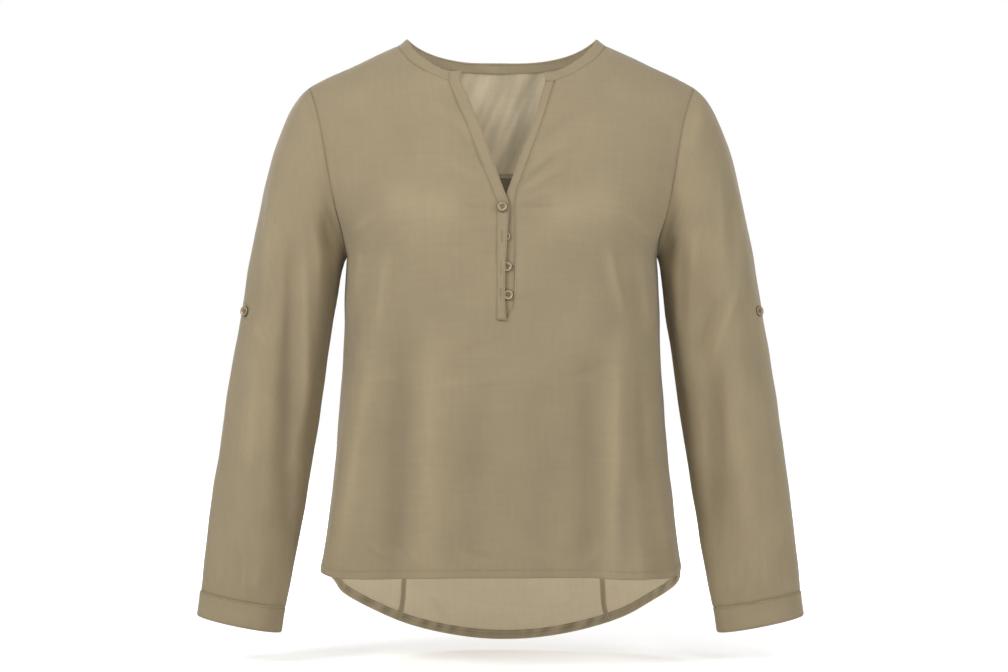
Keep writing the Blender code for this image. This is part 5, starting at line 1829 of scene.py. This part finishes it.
@dataclass
class Buttons:
    """Six four-hole buttons, each with its thread."""

    wardrobe: Wardrobe
    opening: OpeningForm
    sleeves: tuple[Sleeve, ...]
    body: BodyForm = BodyForm()
    radius: float = 5.75 * MM
    thick: float = 2.0 * MM
    hole: float = 0.85 * MM
    spread: float = 1.25 * MM       # of the holes, from the middle, each way
    seat: float = 0.3 * MM
    sleeve_seat: float = 1.5 * MM
    tip: float = 0.55               # how far the sleeves' buttons tip forward on their threads
    face_from: float = 0.45         # share of the thickness above which the painted shade table holds; below it the shade is full
    # x, height, 1 where it is done up, through the upper placket
    front: Table = (
        (0.0005, -0.1822, 1), (0.004, -0.2131, 0), (0.0056, -0.2447, 0), (0.0068, -0.2745, 0),
    )
    # share of the radius, how much painted shade the face has there
    painted_button_shade: Table = (
        (0, 0.6), (0.28, 0.5), (0.4, 0.15), (0.54, 0.45), (0.66, 0.08), (0.8, 0), (0.88, 0.45),
        (0.94, 0.95), (1, 1),
    )
    # share of the radius, share of the thickness
    profile: Table = (
        (0, 0.52), (0.3, 0.53), (0.52, 0.6), (0.64, 0.84), (0.74, 0.98), (0.84, 1), (0.94, 0.9),
        (1, 0.66), (0.98, 0.4), (0.9, 0.16), (0.66, 0), (0, 0),
    )

    def build(self) -> None:
        """Makes every button."""
        for number, (x, z, done_up) in enumerate(self.front, start=1):
            over = self.opening.upper_lift + self.opening.button_room
            lift = over if done_up else -self.opening.under_sink
            place = self.body.on_front(np.array(x), np.array(z), lift + self.seat)
            rise = np.array(self.body.front_rise(x, z))
            normal = self.body.normal(Half.FRONT, self.body.turn_of(Half.FRONT, x, rise), rise)
            self.build_button(f"button_{number}", place, normal, 0.35 * number)
        for sleeve in self.sleeves:
            form = sleeve.form
            mirror = np.array([form.side, 1.0, 1.0])
            normal = form.normal(sleeve.tab_ring, sleeve.tab_turn)
            point = form.points(np.array([sleeve.tab_ring]), np.array([sleeve.tab_turn]))[0, 0]
            place = (point + normal * self.sleeve_seat) * mirror
            tipped = unit(normal + np.array([0.0, -self.tip, 0.0]))
            self.build_button(f"sleeve_button_{sleeve.word}", place, tipped * mirror, 0.9)

    def turned(self) -> BMesh:
        """The button's turned form."""
        made = bmesh.new()
        points = [made.verts.new((share * self.radius, 0.0, up * self.thick)) for share, up in self.profile]
        edges = [made.edges.new(pair) for pair in zip(points[:-1], points[1:])]
        bmesh.ops.spin(
            made, geom=points + edges, cent=(0, 0, 0), axis=(0, 0, 1), dvec=(0, 0, 0),
            angle=FULL_TURN, steps=40, use_merge=True, use_duplicate=False,
        )
        bmesh.ops.remove_doubles(made, verts=made.verts, dist=0.01 * MM)
        bmesh.ops.recalc_face_normals(made, faces=made.faces)
        return made

    def drilled(self) -> Mesh:
        """The turned form with its four holes, and an attribute for painted shade in its middle, round its
        holes and over its edge and sides.
        """
        blank = bpy.data.objects.new("button_blank", smooth_mesh("button_blank", self.turned()))
        drill = bmesh.new()
        for across, along in ((1, 1), (1, -1), (-1, -1), (-1, 1)):
            place = Matrix.Translation((across * self.spread, along * self.spread, self.thick / 2))
            bmesh.ops.create_cone(drill, cap_ends=True, segments=12, radius1=self.hole, radius2=self.hole,
                                  depth=3 * self.thick, matrix=place)
        cutter = bpy.data.objects.new("button_drill", smooth_mesh("button_drill", drill))
        for thing in (blank, cutter):
            bpy.context.scene.collection.objects.link(thing)
        holes = blank.modifiers.new("holes", "BOOLEAN")
        holes.operation = "DIFFERENCE"
        holes.object = cutter
        drilled = blank.evaluated_get(bpy.context.evaluated_depsgraph_get())
        done = bpy.data.meshes.new_from_object(drilled)
        for thing in (blank, cutter):
            bpy.data.objects.remove(thing)
        done.shade_smooth()
        done.set_sharp_from_angle(angle=math.radians(50))
        # Painted shade: from the table on the face, full on the sides and the back
        painted_button_shade = done.attributes.new("painted_button_shade", "FLOAT", "POINT")
        shares, values = zip(*self.painted_button_shade)
        for vertex, value in zip(done.vertices, painted_button_shade.data):
            share = vertex.co.xy.length / self.radius
            face = vertex.co.z >= self.face_from * self.thick
            value.value = float(np.interp(share, shares, values)) if face else 1.0
        return done

    def build_button(self, node: str, place: Array, normal: Array, spin: float) -> None:
        """One button, with its thread through the holes.

        Args:
            node: The CAD node that it stands for.
            place: The middle of its back.
            normal: The direction of its face.
            spin: How far it is turned on its shank.
        """
        turn = Vector(normal).to_track_quat("Z", "Y").to_matrix().to_4x4()
        where = Matrix.Translation(place) @ turn @ Matrix.Rotation(spin, 4, "Z")
        mesh = self.drilled()
        mesh.name = node + "_turned"
        mesh.transform(where)
        mesh.materials.clear()
        mesh.materials.append(self.wardrobe.horn)
        self.wardrobe.adopt(bpy.data.objects.new(node + "_turned", mesh), "horn_button", node)
        thread = bmesh.new()
        for across in (-1, 1):
            length = Matrix.Diagonal((0.34 * MM, self.spread + 0.35 * MM, 0.34 * MM, 1.0))
            seat = Matrix.Translation((across * self.spread, 0, 0.56 * self.thick))
            bmesh.ops.create_uvsphere(
                thread, u_segments=8, v_segments=6, radius=1.0, matrix=where @ seat @ length
            )
        shank = Matrix.Translation((0, 0, -0.1 * MM)) @ Matrix.Diagonal((1.5 * MM, 1.5 * MM, 0.5 * MM, 1.0))
        bmesh.ops.create_uvsphere(thread, u_segments=10, v_segments=6, radius=1.0, matrix=where @ shank)
        self.wardrobe.mesh_piece(node + "_thread", thread, self.wardrobe.thread)


# ---- the studio


@dataclass(frozen=True)
class SoftBox:
    """A large soft lamp that looks at the blouse."""

    name: str
    place: tuple[float, float, float]
    size: float
    power: float
    target: tuple[float, float, float] = (0.0, 0.0, -0.32)

    def make(self) -> None:
        """Hangs the lamp."""
        lamp = bpy.data.lights.new(self.name, "AREA")
        lamp.shape = "DISK"
        lamp.size = self.size
        lamp.energy = self.power
        hung = bpy.data.objects.new(self.name, lamp)
        hung.location = self.place
        hung.rotation_euler = (Vector(self.target) - Vector(self.place)).to_track_quat("-Z", "Y").to_euler()
        bpy.context.scene.collection.objects.link(hung)


@dataclass(frozen=True)
class Studio:
    """White floor, white air, soft lamps, and the camera at the picture's view."""

    floor_z: float = -0.674
    floor_radius: float = 6.0
    camera_place: tuple[float, float, float] = (0.0024, -3.0, -0.318)
    picture_width: float = 1.1088       # metres across the picture in the shoulders' plane
    sensor: float = 36.0
    air: float = 0.18                   # light of the surroundings on the blouse
    seen_air: float = 1.0               # the same as the camera sees it
    lamps: tuple[SoftBox, ...] = (
        SoftBox("key_soft_box", (-1.9, -1.7, 1.25), 1.1, 42.0),
        SoftBox("front_soft_box", (0.9, -2.5, 0.90), 0.8, 17.0),
        SoftBox("side_soft_box", (2.2, -1.4, 0.60), 1.0, 16.0),
        SoftBox("top_soft_box", (0.0, -0.1, 1.7), 1.2, 5.0),
        SoftBox("back_soft_box", (-1.2, 2.4, 0.90), 1.2, 30.0),
        SoftBox("back_side_soft_box", (1.8, 1.9, 0.40), 1.2, 14.0),
    )

    def build(self) -> None:
        """Sets the studio up."""
        self.build_floor()
        self.build_air()
        for lamp in self.lamps:
            lamp.make()
        self.build_camera()
        bpy.context.scene.view_settings.view_transform = "Standard"

    def build_floor(self) -> None:
        """A round white floor under the blouse."""
        made = bmesh.new()
        bmesh.ops.create_circle(made, cap_ends=True, segments=96, radius=self.floor_radius,
                                matrix=Matrix.Translation((0, 0, self.floor_z)))
        bmesh.ops.recalc_face_normals(made, faces=made.faces)
        mesh = smooth_mesh("studio_floor", made)
        mesh.materials.append(FloorFinish().make())
        floor = bpy.data.objects.new("studio_floor", mesh)
        bpy.context.scene.collection.objects.link(floor)

    def build_air(self) -> None:
        """White surroundings, brighter to the camera than to the cloth."""
        world = bpy.data.worlds.new("studio_air")
        world.use_nodes = True
        bpy.context.scene.world = world
        wire, nodes = Wiring(world.node_tree), world.node_tree.nodes
        wire.feed(nodes["Background"], Color=(1.0, 0.995, 0.985, 1.0), Strength=self.air)
        seen = wire.add("Background", Color=(1.0, 1.0, 1.0, 1.0), Strength=self.seen_air)
        mix = wire.add(
            "MixShader", in_0=wire.add("LightPath").outputs["Is Camera Ray"],
            in_1=nodes["Background"].outputs[0], in_2=seen.outputs[0],
        )
        wire.feed(nodes["World Output"], Surface=mix.outputs[0])

    def build_camera(self) -> None:
        """The camera, level with the middle of the blouse."""
        camera = bpy.data.cameras.new("camera")
        camera.sensor_width = self.sensor
        camera.lens = self.sensor * -self.camera_place[1] / self.picture_width
        placed = bpy.data.objects.new("camera", camera)
        placed.location = self.camera_place
        placed.rotation_euler = (math.radians(90), 0.0, 0.0)
        bpy.context.scene.collection.objects.link(placed)
        bpy.context.scene.camera = placed


def corners(box: tuple[Vector, Vector]) -> list[list[float]]:
    """A box as plain lists."""
    return [[float(value) for value in corner] for corner in box]


def main() -> None:
    """Builds the blouse round its solids, and the studio."""
    logging.basicConfig(level=logging.INFO, format="%(name)s: %(message)s")
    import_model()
    finishes = {
        "outside": ClothFinish("taupe_cloth_outside", (0.360, 0.290, 0.180)),
        # The inside and turned finishes are lighter, glowing copies of the cloth: painted light that comes
        # through it and in at the neck and the hem
        "inside": ClothFinish(
            "taupe_cloth_inside", (0.575, 0.500, 0.362), sheen=0.1, glow=0.24, deep_painted_shade=0.30, streaks=0.26,
            painted_relief_shade=-0.08,
        ),
        "turned": ClothFinish(
            "taupe_cloth_turned", (0.545, 0.462, 0.322), seam_painted_shade=0.55, sheen=0.1, glow=0.14
        ),
        "thread": ClothFinish("taupe_thread", (0.265, 0.208, 0.126), thread=0.2 * MM),
        # The horn's third colour is the painted shade at the buttons' edges and holes
        "horn": HornFinish("horn_resin", (0.56, 0.415, 0.252), (0.43, 0.313, 0.186), (0.07, 0.045, 0.024)),
    }
    effects = Effects()
    wardrobe = Wardrobe(**{use: finish.make(effects) for use, finish in finishes.items()})
    stitcher = Stitcher(wardrobe)
    opening = OpeningForm()
    sleeves = tuple(Sleeve(wardrobe, stitcher, SleeveForm(side)) for side in (Side.LEFT, Side.RIGHT))
    BodyPanels(wardrobe, stitcher, opening).build()
    OpeningPieces(wardrobe, stitcher, opening).build()
    for sleeve in sleeves:
        sleeve.build()
    Buttons(wardrobe, opening, sleeves).build()
    Studio().build()


if __name__ == "__main__":
    main()
